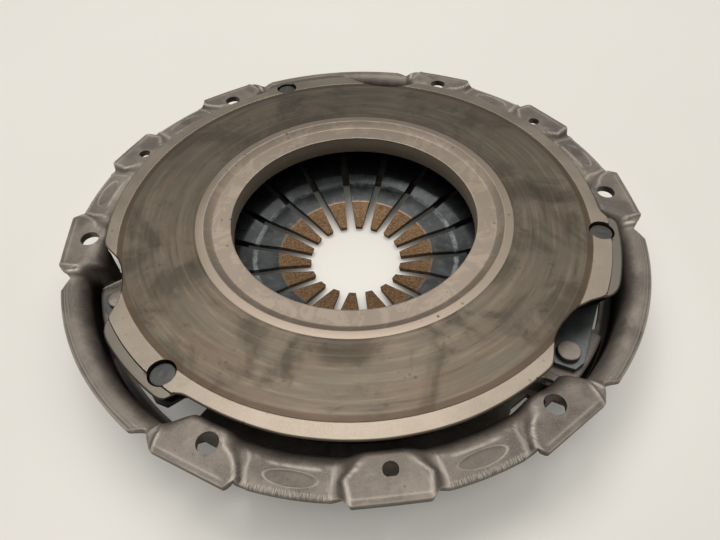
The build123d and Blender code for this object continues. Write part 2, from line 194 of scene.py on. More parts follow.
def make_piece(name, points, faces, body, replaced, material, attributes=()):
    """Puts points (mm) and arrays of faces into a mesh object, drops loose points, joins it to its body when
    one is given, and hides the CAD node that it replaces."""
    used, packed = np.unique(np.concatenate([group.ravel() for group in faces]), return_inverse=True)
    lists = []
    start = 0
    for group in faces:
        lists.extend(packed[start : start + group.size].reshape(group.shape).tolist())
        start += group.size
    mesh = bpy.data.meshes.new(name)
    mesh.from_pydata((points[used] * MM).tolist(), [], lists)
    for label, values in attributes:
        layer = mesh.attributes.new(label, "FLOAT", "POINT")
        layer.data.foreach_set("value", np.ascontiguousarray(values[used], np.float32))
    mesh.validate()
    mesh.shade_smooth()
    mesh.set_sharp_from_angle(angle=np.radians(SHARP_ANGLE))
    mesh.materials.append(material)
    piece = bpy.data.objects.new(name, mesh)
    bpy.context.scene.collection.objects.link(piece)
    if body:
        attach(piece, body)
    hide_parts(replaced)
    return piece


def build_turned(name, profile, count, centre, body, replaced, material, close=False):
    """A piece turned from a profile of (radius, height) about an upright axis through the centre."""
    r, z = np.asarray(profile, float).T[:, :, None]
    angle = np.radians(np.arange(count) * 360.0 / count)
    points, quads = weld(wrapped(r, angle, z) + (*centre, 0.0), grid_quads(len(r), count, close))
    faces = [group for group in pole_faces(quads) if len(group)]
    return make_piece(name, points, faces, body, replaced, material)


def round_edges(piece, width, segments=2):
    """Rounds the sharp edges of a piece with a Bevel modifier of that width in mm."""
    bevel = piece.modifiers.new("edges", "BEVEL")
    bevel.width = width * MM
    bevel.segments = segments
    bevel.limit_method = "ANGLE"
    bevel.angle_limit = np.radians(BEVEL_ANGLE)
    bevel.use_clamp_overlap = True


# ---------------------------------------------------------------- shape of the cover
SHEET = 3.5  # thickness of the pressed steel
FLOOR_Z = -24.607  # inside of the back
SEAT_Z = -15.7  # the seats under the straps
RELIEF_Z = -2.0  # the flange between its pads
SEGMENT_WALL, POCKET_WALL = 125.3, 134.4  # inside radii of the wall
SEAT_CREST = -47.2  # how far along a strap its seat ends in a pressed ridge
HOLE_CIRCLE, BOLT_HOLE, DOWEL_HOLE = 134.0, 4.5, 3.15  # radii
# openings: inner and outer radius, first and last psi, corner radius
WINDOW = (111.3, 128.8, -2.8, 19.8, 3.0)
VENT = (118.3, 140.0, -31.4, -25.3, 2.0)
WINDOW_TOP, VENT_TOP = FLOOR_Z + 1.5, -4.4  # heights up to which they are cut; the vent climbs the wall
VENT_SKEW = 0.38  # degrees that the vent leans for each mm of radius
OUTLINE_TURN = 0.45  # degrees by which the trimmed outline sits clockwise of the holes
LAND = (15.0, 4.35, 137.4, 3.2)  # a coined oval: its angle from the dowel, half width, radius, half height
CHAMFER_R = 141.4  # where the chamfer along the flange's outer edge starts

# half of a segment's outline: angle from its middle, radius; straight except where both radii match
OUTLINE = [
    (0.0, 145.84), (5.8, 146.44), (7.4, 142.9), (8.6, 143.75), (21.3, 143.75), (22.9, 143.0),
    (23.85, 146.85), (36.9, 146.4), (40.3, 140.85), (42.6, 145.4), (60.0, 145.4),
]
# feet (low) and tops (high) of the pads' sides: angle from the segment's middle over the radius
BOLT_LOW = ([126, 131.1, 133.3, 137.9, 140.4, 144], [25.2, 23.2, 22.6, 22.4, 22.0, 21.7])
BOLT_HIGH = (
    [126, 130, 132.9, 134.2, 137.3, 139.2, 141.8, 144], [28.2, 27.8, 26.5, 25.4, 24.0, 23.5, 22.9, 23.0],
)
DOWEL_HIGH = ([126, 128.2, 133.4, 137.1, 140.3, 144], [2.0, 3.1, 5.2, 6.8, 6.3, 6.0])
DOWEL_LOW = ([126, 131.3, 141, 144], [7.0, 7.9, 8.4, 8.0])
# the crease where the wall's bend ends between the pads: radius over the angle
CREASE = ([7.7, 8.6, 9.8, 11.2, 15, 17.1, 21.5], [130.5, 131.1, 132.3, 133.1, 132.9, 133.4, 131.9])
# the outer line of a bolt pad's flat top: radius over the angle
PAD_EDGE = ([27.0, 28.9, 35.6, 38.0], [148.0, 146.1, 143.7, 142.8])


def from_middle(psi):
    """Angle from the middle of the segment, measured on the trimmed outline."""
    return 60.0 - np.abs(psi + OUTLINE_TURN)


def outline_radius(away):
    """Radius of the cover's rim at an angle from the middle of a segment. Straight runs follow
    r = r1 r2 sin(a2 - a1) / (r1 sin(a - a1) + r2 sin(a2 - a)), and a moving average rounds the corners."""
    fine = np.arange(-3.0, 63.0, 0.05)
    angle = np.abs(60.0 - np.abs(60.0 - np.abs(fine)))
    radius = np.empty_like(fine)
    for (a1, r1), (a2, r2) in zip(OUTLINE, OUTLINE[1:]):
        here = (angle >= a1 - 1e-9) & (angle <= a2 + 1e-9)
        t = np.radians(angle[here])
        b1, b2 = np.radians(a1), np.radians(a2)
        straight = r1 * r2 * np.sin(b2 - b1) / (r1 * np.sin(t - b1) + r2 * np.sin(b2 - t))
        radius[here] = r1 if r1 == r2 else straight
    return np.interp(away, fine, smoothed(radius, 15))


def pad_sides(r):
    """The angles between which the sides of the pads run at a radius."""
    return [np.interp(r, *side) for side in (BOLT_LOW, BOLT_HIGH, DOWEL_HIGH, DOWEL_LOW)]


def flange_level(r, psi):
    """Height of the flange's upper face, without its fine creases.
    It is -2 between the pads and 0 on them. The sides of the pads are smooth steps in the angle whose
    start and end angles change with the radius, with a shallow valley along the foot of each."""
    away = from_middle(psi)
    bolt_low, bolt_high, dowel_high, dowel_low = pad_sides(r)
    run_in = np.interp(r, [127, 134, 141], [33.0, 35.2, 37.4]) + np.where(psi < 0, 0.8, 0.0)
    far = 1 - ease(run_in, np.where(psi < 0, 41.0, 40.4), away)
    bolt = ease(bolt_low, bolt_high, away) * far
    dowel = 1 - ease(dowel_high, dowel_low, away)
    outer = ease(128.5, 131.5, r)
    valley = bump(away, mix(bolt_low, bolt_high, 0.35), (bolt_high - bolt_low) * 0.5)
    valley = valley + bump(away, mix(dowel_high, dowel_low, 0.7), (dowel_low - dowel_high) * 0.5)
    ridge = bump(away, bolt_low - 0.45, 0.7) + bump(away, dowel_low + 0.45, 0.7)
    return RELIEF_Z * (1 - np.maximum(bolt, dowel)) - outer * (0.34 * valley - 0.10 * ridge)


def flange_detail(r, psi, rim, coin):
    """What the press left on the flange, added to its level, and where it is painted bright.
    The heights are an oval coined land between the pads, a chamfer along the outer edge, a crease where
    the wall's bend ends, two folds beside each pocket and two steps along the lips. The bright share is
    partly wear on the chamfer, and partly painted highlights: narrow humps along the same creases, folds,
    lip steps and the rim. The third value says where the chamfer carries spoke marks."""
    away = from_middle(psi)
    bolt_low, bolt_high, dowel_high, dowel_low = pad_sides(r)
    relief = ease(8.3, 9.4, away) * (1 - ease(20.9, 21.9, away))
    oval = np.hypot((away - LAND[0]) / LAND[1], (r - LAND[2]) / LAND[3])
    crease = np.interp(away, *CREASE)
    on_bolt_pad = ease(26.5, 28.5, away) * (1 - ease(37.5, 39.5, away))
    lip = ease(40.7, 42.0, away)
    fold = away + 0.16 * (r - 140.0)

    height = -coin * (1 - ease(0.80, 1.06, oval)) * relief
    height = height - 0.30 * np.clip(r - CHAMFER_R, 0, 4) * relief
    height = height - 0.07 * np.clip(crease - r, 0, 6) * relief
    height = height - 0.16 * np.clip(r - np.interp(away, *PAD_EDGE), 0, 3) * on_bolt_pad
    height = height - lip * (0.34 * ease(142.1, 142.7, r) + 0.4 * ease(143.7, 144.3, r))
    height = height + 0.5 * bump(away, 39.0, 0.6) * ease(134.5, 136.5, r) * (1 - ease(rim - 1.2, rim, r))
    height = height + (0.32 * bump(fold, 37.5, 0.5) - 0.3 * bump(fold, 38.2, 0.45)) * ease(136.5, 138.5, r)
    height = height - 0.12 * ease(rim - 0.5, rim, r) ** 2

    beside_bolt = 0.62 * bump(away, bolt_high + 0.1, 0.6) + 0.5 * bump(away, bolt_low - 0.35, 0.5)
    beside_dowel = 0.56 * bump(away, dowel_high - 0.1, 0.6) + 0.5 * bump(away, dowel_low + 0.35, 0.5)
    on_pad = (1 - ease(5.4, 6.2, away)) + ease(24.0, 25.0, away) * (1 - ease(36.0, 37.0, away))
    # the bright share: wear on the chamfer, and painted highlights along the creases, pad sides, lip steps,
    # folds and rim
    wear_and_highlight = 0.95 * ease(CHAMFER_R - 0.1, CHAMFER_R + 0.5, r) * relief
    wear_and_highlight = wear_and_highlight + 0.5 * bump(r - crease, 0, 0.6) * relief
    wear_and_highlight = wear_and_highlight + ease(129.5, 132.0, r) * (beside_bolt + beside_dowel)
    wear_and_highlight = wear_and_highlight + lip * (0.6 * bump(r, 142.3, 0.45) + 0.7 * bump(r, 143.8, 0.4))
    wear_and_highlight = wear_and_highlight + (0.9 * bump(away, 39.0, 0.5) + 0.6 * bump(fold, 37.5, 0.45)) * ease(135.5, 137.5, r)
    wear_and_highlight = wear_and_highlight + 0.55 * ease(rim - 0.7, rim - 0.1, r) + 0.36 * on_pad * bump(r, rim - 2.4, 0.8)
    spokes = relief * ease(CHAMFER_R - 1.5, CHAMFER_R + 0.5, r)
    return height, np.clip(wear_and_highlight, 0, 1), spokes


def back_height(r, psi):
    """Inside height of the cover's back: the land round the opening, the slope to the flat, and the strap
    seat. The seat is the product of smooth steps in the radius, along the strap and in the angle, and a
    low hump across the strap's direction closes it off."""
    dip = np.interp(r, [67.2, 68.4, 78.8, 80.6], [-30.307, -30.0, -24.95, FLOOR_Z])
    along = r * np.sin(np.radians(psi))
    seat = ease(110.9, 113.1, r) * (1 - ease(131.5, 132.9, r))
    seat = seat * ease(-49.4, -46.7, along) * (1 - ease(-6.6, -4.6, psi))
    ridge = 0.45 * bump(along, SEAT_CREST, 1.3) * ease(112.0, 114.0, r) * (1 - ease(130.0, 131.6, r))
    return dip + (SEAT_Z - FLOOR_Z) * seat + ridge


def cover_columns():
    """Angles of the columns in one third of the cover, from the middle of a pocket, denser at its turns."""
    return steps(
        (-60, -55.3, 0.7), (-55.3, -51.4, 0.4), (-51.4, -49.6, 0.6), (-49.6, -40.6, 0.52),
        (-40.6, -39.4, 0.6), (-39.4, -36.0, 0.38), (-36.0, -33.5, 0.52), (-33.5, -26.5, 0.5),
        (-26.5, -21.0, 0.34), (-21.0, -17.0, 0.42), (-17.0, -7.4, 1.0), (-7.4, -4.3, 0.34),
        (-4.3, -1.3, 0.6), (-1.3, 16.0, 1.0), (16.0, 19.4, 0.45), (19.4, 25.0, 0.37), (25.0, 35.2, 0.6),
        (35.2, 38.6, 0.38), (38.6, 39.8, 0.6), (39.8, 48.8, 0.52), (48.8, 50.6, 0.6), (50.6, 54.5, 0.4),
        (54.5, 60.0, 0.7),
    )


def cover_surface(coin):
    """The cover's inside as rows along its profile and columns round the axis, plain and with its detail.
    Rows: back (a height over the radius), floor bend (a quarter circle), wall, rim bend (a quarter circle
    whose height follows the flange's level) and flange (a height over the radius) out to the rim."""
    psi = cover_columns()
    pocket = 1 - np.where(psi < 0, ease(20.3, 23.2, -psi), ease(19.2, 25.0, psi))
    wall = mix(SEGMENT_WALL, POCKET_WALL, pocket)
    floor_bend = mix(5.25, 1.45, pocket)
    rim = outline_radius(from_middle(psi))
    pad = 1 - flange_level(np.full_like(psi, 129.0), psi) / RELIEF_Z
    rim_bend = mix(mix(7.75, 3.95, np.clip(pad, 0, 1)), 7.55, pocket) + 6.0 * bump(psi, -25.6, 5.6)
    corner = wall + rim_bend

    inner = [62.5, 67.2, 67.8, 68.4, 71.0, 78.8, 79.7, 80.6, 84, 96, 109.2]
    seat_edge = [110.4, 110.9, 111.3, 111.7, 112.1, 112.6, 113.1]
    in_segment = [114.3, 115.3, 116.2, 117.0, 117.7, 118.3, 118.8, 119.2, 119.5, 119.75, 119.95]
    in_pocket = [116.0, 119.5, 123.0, 126.5, 129.6, 131.3, 131.65, 131.95, 132.25, 132.55, 132.9]
    back_in = np.array(inner + seat_edge)[:, None] + 0 * psi
    back_out = mix(np.array(in_segment)[:, None], np.array(in_pocket)[:, None], pocket)
    back_r = np.concatenate([back_in, back_out])

    t = np.radians([15, 35, 55, 75, 90])[:, None]
    bend_r = wall - floor_bend * (1 - np.sin(t))
    bend_z = FLOOR_Z + floor_bend * (1 - np.cos(t))

    share = np.array([0.5, 1.0])[:, None]
    wall_z = mix(FLOOR_Z + floor_bend, flange_level(wall, psi) - rim_bend - 0.35, share)

    turn_end = np.minimum(corner, rim - 5.4)
    last = np.arccos(np.clip((corner - turn_end) / rim_bend, 0, 1))
    turn_r = corner - rim_bend * np.cos(last * np.linspace(0.0, 1.0, 10)[:, None])
    flange_r = mix(turn_end, rim - 3.0, np.linspace(0, 1, 10)[1:, None])
    edge_r = rim - np.array([2.3, 1.7, 1.2, 0.8, 0.45, 0.2, 0.0])[:, None]
    top_r = np.concatenate([turn_r, flange_r, edge_r])
    drop = rim_bend - np.sqrt(np.maximum(rim_bend**2 - np.clip(corner - top_r, 0, rim_bend) ** 2, 0))

    r = np.concatenate([back_r, bend_r, wall + 0 * wall_z, top_r])
    z = np.concatenate([back_height(back_r, psi), bend_z, wall_z, flange_level(top_r, psi) - drop])
    on_top = 1 - ease(0.0, 0.6, drop / rim_bend)
    below = np.zeros((len(r) - len(top_r), len(psi)))
    detail, wear_and_highlight, spoked = (
        np.concatenate([below, on_top * value]) for value in flange_detail(top_r, psi, rim, coin)
    )
    along = r * np.sin(np.radians(psi))
    # painted highlights along the crest where each strap seat ends and along the seat's outer edge
    ridge = bump(along, SEAT_CREST, 1.7) * ease(112, 114, r) * (1 - ease(131.9, 132.9, r))
    side = 0.7 * bump(r, 131.6, 0.8) * ease(-48.9, -46.9, along) * (psi < -6.0)
    wear_and_highlight = np.maximum(wear_and_highlight, np.maximum(ridge, side) * (z > SEAT_Z - 4.0))
    r, z, detail, wear_and_highlight, spoked = (np.tile(v, (1, len(POCKETS))) for v in (r, z, detail, wear_and_highlight, spoked))
    angle = thirds(psi)
    quads = grid_quads(len(r), len(angle))
    return wrapped(r, angle, z), wrapped(r, angle, z + detail), wear_and_highlight.ravel(), spoked.ravel(), quads


def rounded_gap(points, shape, pocket):
    """Signed distance in mm to a rounded ring sector, negative inside, with its angle taken as a length at
    each radius; the vent leans, so its angle grows with the radius first."""
    inner, outer, start, end, corner = shape
    r = np.hypot(points[:, 0], points[:, 1])
    psi = (np.degrees(np.arctan2(points[:, 1], points[:, 0])) - pocket + 180) % 360 - 180
    if shape is VENT:
        psi = psi + VENT_SKEW * np.clip(r - inner, 0, 7.5)
    dx = np.abs(np.radians(psi - (start + end) / 2) * r) - np.radians((end - start) / 2) * r + corner
    dy = np.abs(r - (inner + outer) / 2) - (outer - inner) / 2 + corner
    return np.hypot(np.maximum(dx, 0), np.maximum(dy, 0)) + np.minimum(np.maximum(dx, dy), 0) - corner


def pull_to_gap(points, rim, shape, pocket):
    """Moves points level onto the edge of a rounded ring sector: p minus distance times its slope, twice."""
    step = 1e-3
    for _ in range(2):
        here = points[rim]
        distance = rounded_gap(here, shape, pocket)
        slope = np.zeros((len(rim), 2))
        for axis in range(2):
            moved = here.copy()
            moved[:, axis] += step
            slope[:, axis] = (rounded_gap(moved, shape, pocket) - distance) / step
        points[rim, :2] = here[:, :2] - distance[:, None] * slope


def cover_cuts(middle):
    """The cover's openings: which faces each takes away, its shape (or a hole's radius) and its place."""
    cuts = []
    for pocket in POCKETS:
        for shape, top in ((WINDOW, WINDOW_TOP), (VENT, VENT_TOP)):
            gone = (rounded_gap(middle, shape, pocket) < 0) & (middle[:, 2] < top)
            cuts.append((gone, shape, pocket))
        for turn, hole in ((-30, BOLT_HOLE), (30, BOLT_HOLE), (60, DOWEL_HOLE)):
            centre = np.array(at(HOLE_CIRCLE, pocket + turn))
            cuts.append((inside_circle(middle, centre, hole), hole, centre))
    return cuts


def build_cover(sizes, material):
    """The pressed steel cover, cut by its windows, vents, bolt holes and dowel holes, and given its
    thickness below its plain surface, so that the detail is on its upper face only."""
    base, full, wear_and_highlight, spoked, quads = cover_surface(sizes.coin_depth / MM)
    normals = point_normals(base, quads)
    keep = np.ones(len(quads), bool)
    for gone, shape, where in cover_cuts(base[quads].mean(1)):
        keep &= ~gone
        rim = np.intersect1d(quads[gone], quads[~gone])
        if shape is VENT:
            rim = rim[base[rim, 2] < FLOOR_Z + 0.5]
        for points in (base, full):
            if shape in (WINDOW, VENT):
                pull_to_gap(points, rim, shape, where)
            else:
                snap_to_circle(points, rim, where, shape)
    points, quads = thicken(base, quads[keep], SHEET, normals, full)
    outside = np.zeros(len(base))
    # the bright share carries wear on the chamfer and painted highlights along the creases and edges
    painted = (("wear_and_highlight", wear_and_highlight), ("spoked", spoked), ("inner", outside + 1.0))
    piece = make_piece(
        "cover_shell", points, [quads], COVER_BODY, "cover", material,
        [(label, np.concatenate([values, outside])) for label, values in painted],
    )
    round_edges(piece, 0.22)


# ---------------------------------------------------------------- shape of the plate
PLATE_DRAFT = 3.9  # how far the cast rim leans in from the edge of the face to the underside
PLATE_UNDER = -6.8
STRAP_CIRCLE = 122.0  # radius on which the straps' rivets sit, 15 degrees either side of a pocket's middle
STRAP_TURN = 15
RECESS_R, RECESS_Z = 6.1, 0.5  # the spot faces under the lug rivets
BAND_IN, BAND_OUT = 80.0, 117.3  # the friction face's rubbed band
# the rim: psi, radius
PLATE_OUTLINE = [
    (-60.0, 124.8), (-46.0, 124.65), (-38.0, 124.2), (-30.0, 123.8), (-26.6, 123.75), (-25.4, 123.35),
    (-24.4, 122.3), (-22.6, 119.9), (-20.2, 116.95), (-17.8, 115.75), (-15.4, 115.5), (-12.2, 116.1),
    (-9.2, 117.7), (-6.6, 121.0), (-4.7, 124.7), (-3.6, 127.2), (-2.7, 128.8), (-1.4, 130.05),
    (0.0, 130.6), (1.4, 130.7), (17.4, 130.7), (18.5, 130.35), (19.2, 129.5), (19.6, 128.2),
    (19.9, 126.6), (20.4, 125.3), (21.2, 124.3), (22.2, 123.85), (23.4, 123.75), (28.0, 123.75),
    (34.0, 124.0), (42.0, 124.55), (60.0, 124.8),
]
BORE_SIDE = [(62.75, -7.4), (62.75, -2.0), (62.75, 1.6), (62.86, 1.88), (63.15, 2.0)]
UNDERSIDE = [
    (110.9, -6.8), (110.2, -7.1), (108.75, -13.0), (108.45, -13.4), (107.9, -13.6), (106.1, -13.6),
    (105.55, -13.4), (105.25, -13.0), (103.8, -7.1), (103.1, -6.8), (90, -6.8), (72, -6.8), (68.5, -7.0),
    (66, -7.9), (63.35, -8.0), (62.92, -7.83),
]


def plate_rim(psi):
    """Radius of the plate's rim at an angle from the middle of a pocket: straight runs between points,
    rounded by a moving average."""
    fine = np.arange(-62.0, 62.0, 0.05)
    return np.interp(psi, fine, smoothed(np.interp(fine, *np.array(PLATE_OUTLINE).T), 13))


def drafted_rim(psi, depth):
    """The rim's outline further down the draft: at each angle, the least over nearby angles of the rim's
    radius there less sqrt(depth^2 - sideways^2), the curve left when a disc of that radius rolls inside."""
    shift = np.linspace(-1, 1, 41) * np.degrees(depth / 124.0)
    sideways = np.radians(shift) * 124.0
    fall = np.sqrt(np.maximum(depth**2 - sideways**2, 0))
    return np.min(plate_rim(psi[:, None] + shift) - fall, axis=1)


def face_height(r):
    """Height of the plate's upper side over the radius: a nearly flat inner ring, the slope up to the
    friction face, the face with its rubbed band, and the step down on the lugs. The slope is a power of
    the way up it, rounded off at its top."""
    t = np.clip((np.asarray(r, float) - 72.0) / (75.9 - 72.0), 0, 1)
    flat = 2.0 + 0.3 * np.clip((r - 63.4) / (72.0 - 63.4), 0, 1)
    rounded = 0.92 + 0.08 * (1 - ((1 - t) / 0.08) ** 1.3)
    slope = 2.5 * np.where(t < 0.92, 0.92 * (t / 0.92) ** 1.15, rounded)
    worn = ease(BAND_IN, 80.4, r) * (1 - ease(117.15, 117.45, r))
    return flat + slope - 0.15 * worn - 0.9 * ease(125.8, 126.15, r)


def plate_rows(rim, foot, edge):
    """The plate's section as a closed loop of rows (radius, height), each a number or one value for each
    column: bore, friction side, rim and ridged underside. The rim's edges are quarter circles."""
    face = [
        63.6, 65, 68, 71, 71.7, 72.0, 72.3, 72.6, 73.0, 73.5, 74.1, 74.7, 75.2, 75.6, 75.75, 75.9, 76.4,
        77.5, 79.9, 80.1, 80.25, 80.5, 84, 90, 96, 102, 107, 111,
    ]
    lug = [
        113, 115, 116.3, 117.0, 117.2, 117.4, 117.6, 118.6, 120, 121, 122, 123, 124, 124.8, 125.4, 125.75,
        125.9, 126.02, 126.2, 126.6, 127.6, 128.6, 129.2,
    ]
    quarter = np.radians([10, 30, 50, 70, 90])
    top = face_height(rim)
    rows = BORE_SIDE + [(r, face_height(r)) for r in face]
    for index, r in enumerate(lug):
        here = np.minimum(r, rim - edge - 0.12 * (len(lug) - index))
        rows.append((here, face_height(here)))
    rows += [(rim - edge * (1 - np.sin(a)), top - edge * (1 - np.cos(a))) for a in (0.0, *quarter)]
    first_cast = len(rows) - 1
    rows += [(mix(rim, foot, share), mix(top - edge, PLATE_UNDER + edge, share)) for share in (0.33, 0.67)]
    rows += [(foot - edge * (1 - np.sin(a)), PLATE_UNDER + edge * (1 - np.cos(a))) for a in quarter[::-1]]
    for r in (125.0, 122.0, 119.0, 115.5, 112.5):
        rows.append((np.minimum(r, foot - edge - 0.6 * (r - 110) / 19), PLATE_UNDER))
    return rows + UNDERSIDE, first_cast


def sink_recess(points, quads, centre, start):
    """Lowers the faces within a round recess to its floor and adds its wall. Gives the faces that stay,
    the floor's points, numbered from start, and the faces of the floor and the wall."""
    middle = points[quads].mean(1)
    sunk = inside_circle(middle, centre, RECESS_R) & (middle[:, 2] > 1.0)
    rim = np.intersect1d(quads[sunk], quads[~sunk])
    snap_to_circle(points, rim, centre, RECESS_R)
    points[rim, 2] = face_height(np.hypot(*points[rim, :2].T))
    floor = quads[sunk]
    old, again = np.unique(floor, return_inverse=True)
    lowered = points[old].copy()
    lowered[:, 2] = RECESS_Z
    a, b = open_edges(floor, len(points)).T
    below_a, below_b = (np.searchsorted(old, ends) + start for ends in (a, b))
    wall = np.stack([a, b, below_b, below_a], 1)
    return quads[~sunk], lowered, [again.reshape(floor.shape) + start, wall]


def build_plate(sizes, material):
    """The cast plate with its rim radius changing round the axis for the lugs and the scoops, and round
    recesses sunk for the strap rivets."""
    psi = steps(
        (-60, -27, 1.0), (-27, -23, 0.4), (-23, -8, 0.6), (-8, 1.5, 0.33), (1.5, 8.5, 0.9), (8.5, 17.4, 0.42),
        (17.4, 23.0, 0.3), (23, 60, 1.0),
    )
    angle = thirds(psi)
    rim = np.tile(plate_rim(psi), len(POCKETS))
    foot = np.tile(drafted_rim(psi, PLATE_DRAFT), len(POCKETS))
    rows, first_cast = plate_rows(rim, foot, sizes.plate_edge / MM)
    r, z = (np.array([row[k] + 0 * rim for row in rows]) for k in range(2))
    cast = np.zeros(len(rows))
    cast[first_cast:-3] = 1.0
    parts = [wrapped(r, angle, z)]
    cast = [np.repeat(cast, len(angle))]
    quads = grid_quads(len(rows), len(angle), closed_rows=True)
    faces = []
    for pocket in POCKETS:
        centre = np.array(at(STRAP_CIRCLE, pocket + STRAP_TURN))
        quads, lowered, more = sink_recess(parts[0], quads, centre, sum(len(part) for part in parts))
        parts.append(lowered)
        cast.append(np.full(len(lowered), 0.8))
        faces += more
    piece = make_piece(
        "plate_casting", np.concatenate(parts), [quads] + faces, PLATE_BODY, "pressure_plate",
        material, [("cast", np.concatenate(cast))],
    )
    round_edges(piece, 0.3)


# ---------------------------------------------------------------- shape of the spring
SPRING_SHEET = 2.5
FINGERS = 18
EYE_IN, EYE_OUT, EYE_HALF, EYE_ROUND = 80.8, 90.3, 4.8, 2.0  # the wide end of each slot
# the cone's kinks and its slope in degrees between them, and one place that it passes through
SPRING_BENDS = [20.0, 24.9, 41.9, 56.4, 62.5, 80.0, 116.0]
SPRING_SLOPES = [14.8, 14.8, 7.85, 21.5, 11.0, 14.8]
SPRING_R, SPRING_Z = 100.0, -13.63 - 8.50 * 0.26421


def spring_height(r):
    """Height of the spring's upper face: straight slopes between its kinks, rounded by a moving average."""
    fine = np.arange(20.0, 116.0, 0.1)
    rises = np.diff(SPRING_BENDS) * np.tan(np.radians(SPRING_SLOPES))
    line = np.interp(fine, SPRING_BENDS, np.concatenate([[0.0], np.cumsum(rises)]))
    line = line - np.interp(SPRING_R, fine, line) + SPRING_Z
    wide = np.pad(line, 15, mode="reflect", reflect_type="odd")
    return np.interp(r, fine, smoothed(wide, 31)[15:-15])


def slot_half_width(r):
    """Half the width of the slot between two fingers: wide and rounded at the eye, narrow along the fingers,
    and widening at the tips as their corners round off. Each rounding is R - sqrt(R^2 - d^2)."""
    into_out = np.clip(r - (EYE_OUT - EYE_ROUND), 0, EYE_ROUND)
    into_in = np.clip(EYE_IN + EYE_ROUND - r, 0, EYE_ROUND)
    eye = EYE_HALF - sum(EYE_ROUND - np.sqrt(EYE_ROUND**2 - d**2) for d in (into_out, into_in))
    slot = np.interp(r, [24, 32, 46, 61.5, 62.5], [2.5, 2.3, 2.0, 2.0, 2.1])
    tip = 0.4 - np.sqrt(np.maximum(0.4**2 - np.clip(25.3 - r, 0, 0.4) ** 2, 0))
    return np.where(r > EYE_IN - 0.01, eye, slot) + tip


def build_spring(sizes, material):
    """The diaphragm spring: a coned ring whose inner part is slotted into fingers. A finger's half angle at a
    radius is half the pitch less arcsin(slot half width / radius). The upper face is a grid over radius and
    angle, and the lower one lies a spring thickness below it along the normals."""
    pitch = 360.0 / FINGERS
    across = np.linspace(-1, 1, 15)
    ring_r = np.array([90.3, 91.5, 93, 95, 98, 101, 104, 106.5, 108.2, 109.0, 109.35, 109.5])
    finger_r = np.concatenate([
        [24.9, 24.95, 25.1, 25.3, 26.5], np.arange(28, 40.1, 2.0), [40.9, 41.4, 41.9, 42.4, 43],
        np.arange(45, 55.1, 2.0), [55.6, 56, 56.4, 56.8, 57.3, 58.5, 60.2, 61.5, 61.8, 62.1, 62.5, 63.1],
        [64.0], np.arange(66, 79, 2.4), [79.0, 80.0, 80.78, 80.8, 80.9, 81.1, 81.5, 82.0, 82.8, 84.5],
        [86.5, 88.3, 89.1, 89.6, 90.0, 90.2, 90.3],
    ])
    starts = np.arange(FINGERS) * pitch
    half = pitch / 2 - np.degrees(np.arcsin(slot_half_width(finger_r) / finger_r))
    one = np.concatenate([across * half[-1], np.linspace(half[-1], pitch - half[-1], 5)[1:-1]])
    ring_angle = np.radians((starts[:, None] + one).ravel())
    ring = wrapped(ring_r[:, None], ring_angle, spring_height(ring_r)[:, None])
    angle = np.radians(starts[:, None, None] + half[:, None] * across)
    fingers = wrapped(finger_r[:, None], angle, spring_height(finger_r)[:, None])
    one_finger = grid_quads(len(finger_r), len(across), closed_columns=False)
    offsets = len(ring) + np.arange(FINGERS) * len(finger_r) * len(across)
    finger_quads = (one_finger[None] + offsets[:, None, None]).reshape(-1, 4)
    quads = np.concatenate([grid_quads(len(ring_r), len(ring_angle)), finger_quads])
    points, quads = weld(np.concatenate([ring, fingers]), quads)

    r = np.hypot(points[:, 0], points[:, 1])
    fine = np.arange(20, 112, 0.2)
    lean = np.interp(r, fine, np.gradient(spring_height(fine), 0.2))
    outward = points[:, :2] / r[:, None]
    normals = np.concatenate([-outward * lean[:, None], np.ones((len(points), 1))], 1)
    normals /= np.linalg.norm(normals, axis=1, keepdims=True)
    points, quads = thicken(points, quads, SPRING_SHEET, normals)
    piece = make_piece(
        "diaphragm", points, [quads], COVER_BODY, "diaphragm_spring", material,
    )
    round_edges(piece, sizes.finger_edge / MM)
    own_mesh(piece)


# ---------------------------------------------------------------- rings, rivets and straps
WIRE_CIRCLE, WIRE_R = 91.6, 1.9
WIRE_HEIGHTS = {"upper": -16.10, "lower": -22.68}
SPACERS, SPACER_CIRCLE, FIRST_SPACER = 9, 86.0, 10.0


def build_rings(material):
    """The two fulcrum wires between which the spring tilts: a circle of wire turned about the axis."""
    t = np.radians(np.arange(20) * 18.0)
    for name, height in WIRE_HEIGHTS.items():
        profile = np.stack([WIRE_CIRCLE - WIRE_R * np.cos(t), height + WIRE_R * np.sin(t)], 1)
        build_turned(
            f"fulcrum_wire_{name}", profile, 180, (0, 0), COVER_BODY, f"{name}_fulcrum_ring",
            material, close=True,
        )


def rivet_profile(head_top, head_under, head_r, body, tail_top, tail_r, tail_bottom, crown, dimple=0.0):
    """Half section of a set rivet from the top of its head to the foot of its tail.
    The head's top is a circular arc of height crown, with a dimple of (1 - d^2)^2 in its middle; its corner
    and the tail's are quarter circles. body is a list of (radius, height) between head and tail."""
    head_round = min(0.55, (head_top - crown - head_under) * 0.6)
    tail_round = min(0.8, (tail_top - tail_bottom) * 0.45)
    reach = head_r - head_round
    d = np.linspace(0, 1, 12)
    rise = head_top - crown * d**2 - dimple * (1 - np.clip(d / 0.45, 0, 1) ** 2) ** 2
    points = list(zip(reach * d, rise))
    for a in np.radians([75, 50, 25, 0]):
        points.append((reach + head_round * np.cos(a), head_top - crown - head_round * (1 - np.sin(a))))
    points += [(head_r, head_under + 0.25), (head_r - 0.25, head_under)]
    points += body + [(tail_r - 0.2, tail_top), (tail_r, tail_top - 0.2)]
    for a in np.radians([0, 25, 50, 75, 90]):
        points.append((tail_r - tail_round * (1 - np.cos(a)), tail_bottom + tail_round * (1 - np.sin(a))))
    return points + [(tail_r * 0.45, tail_bottom), (0.0, tail_bottom)]


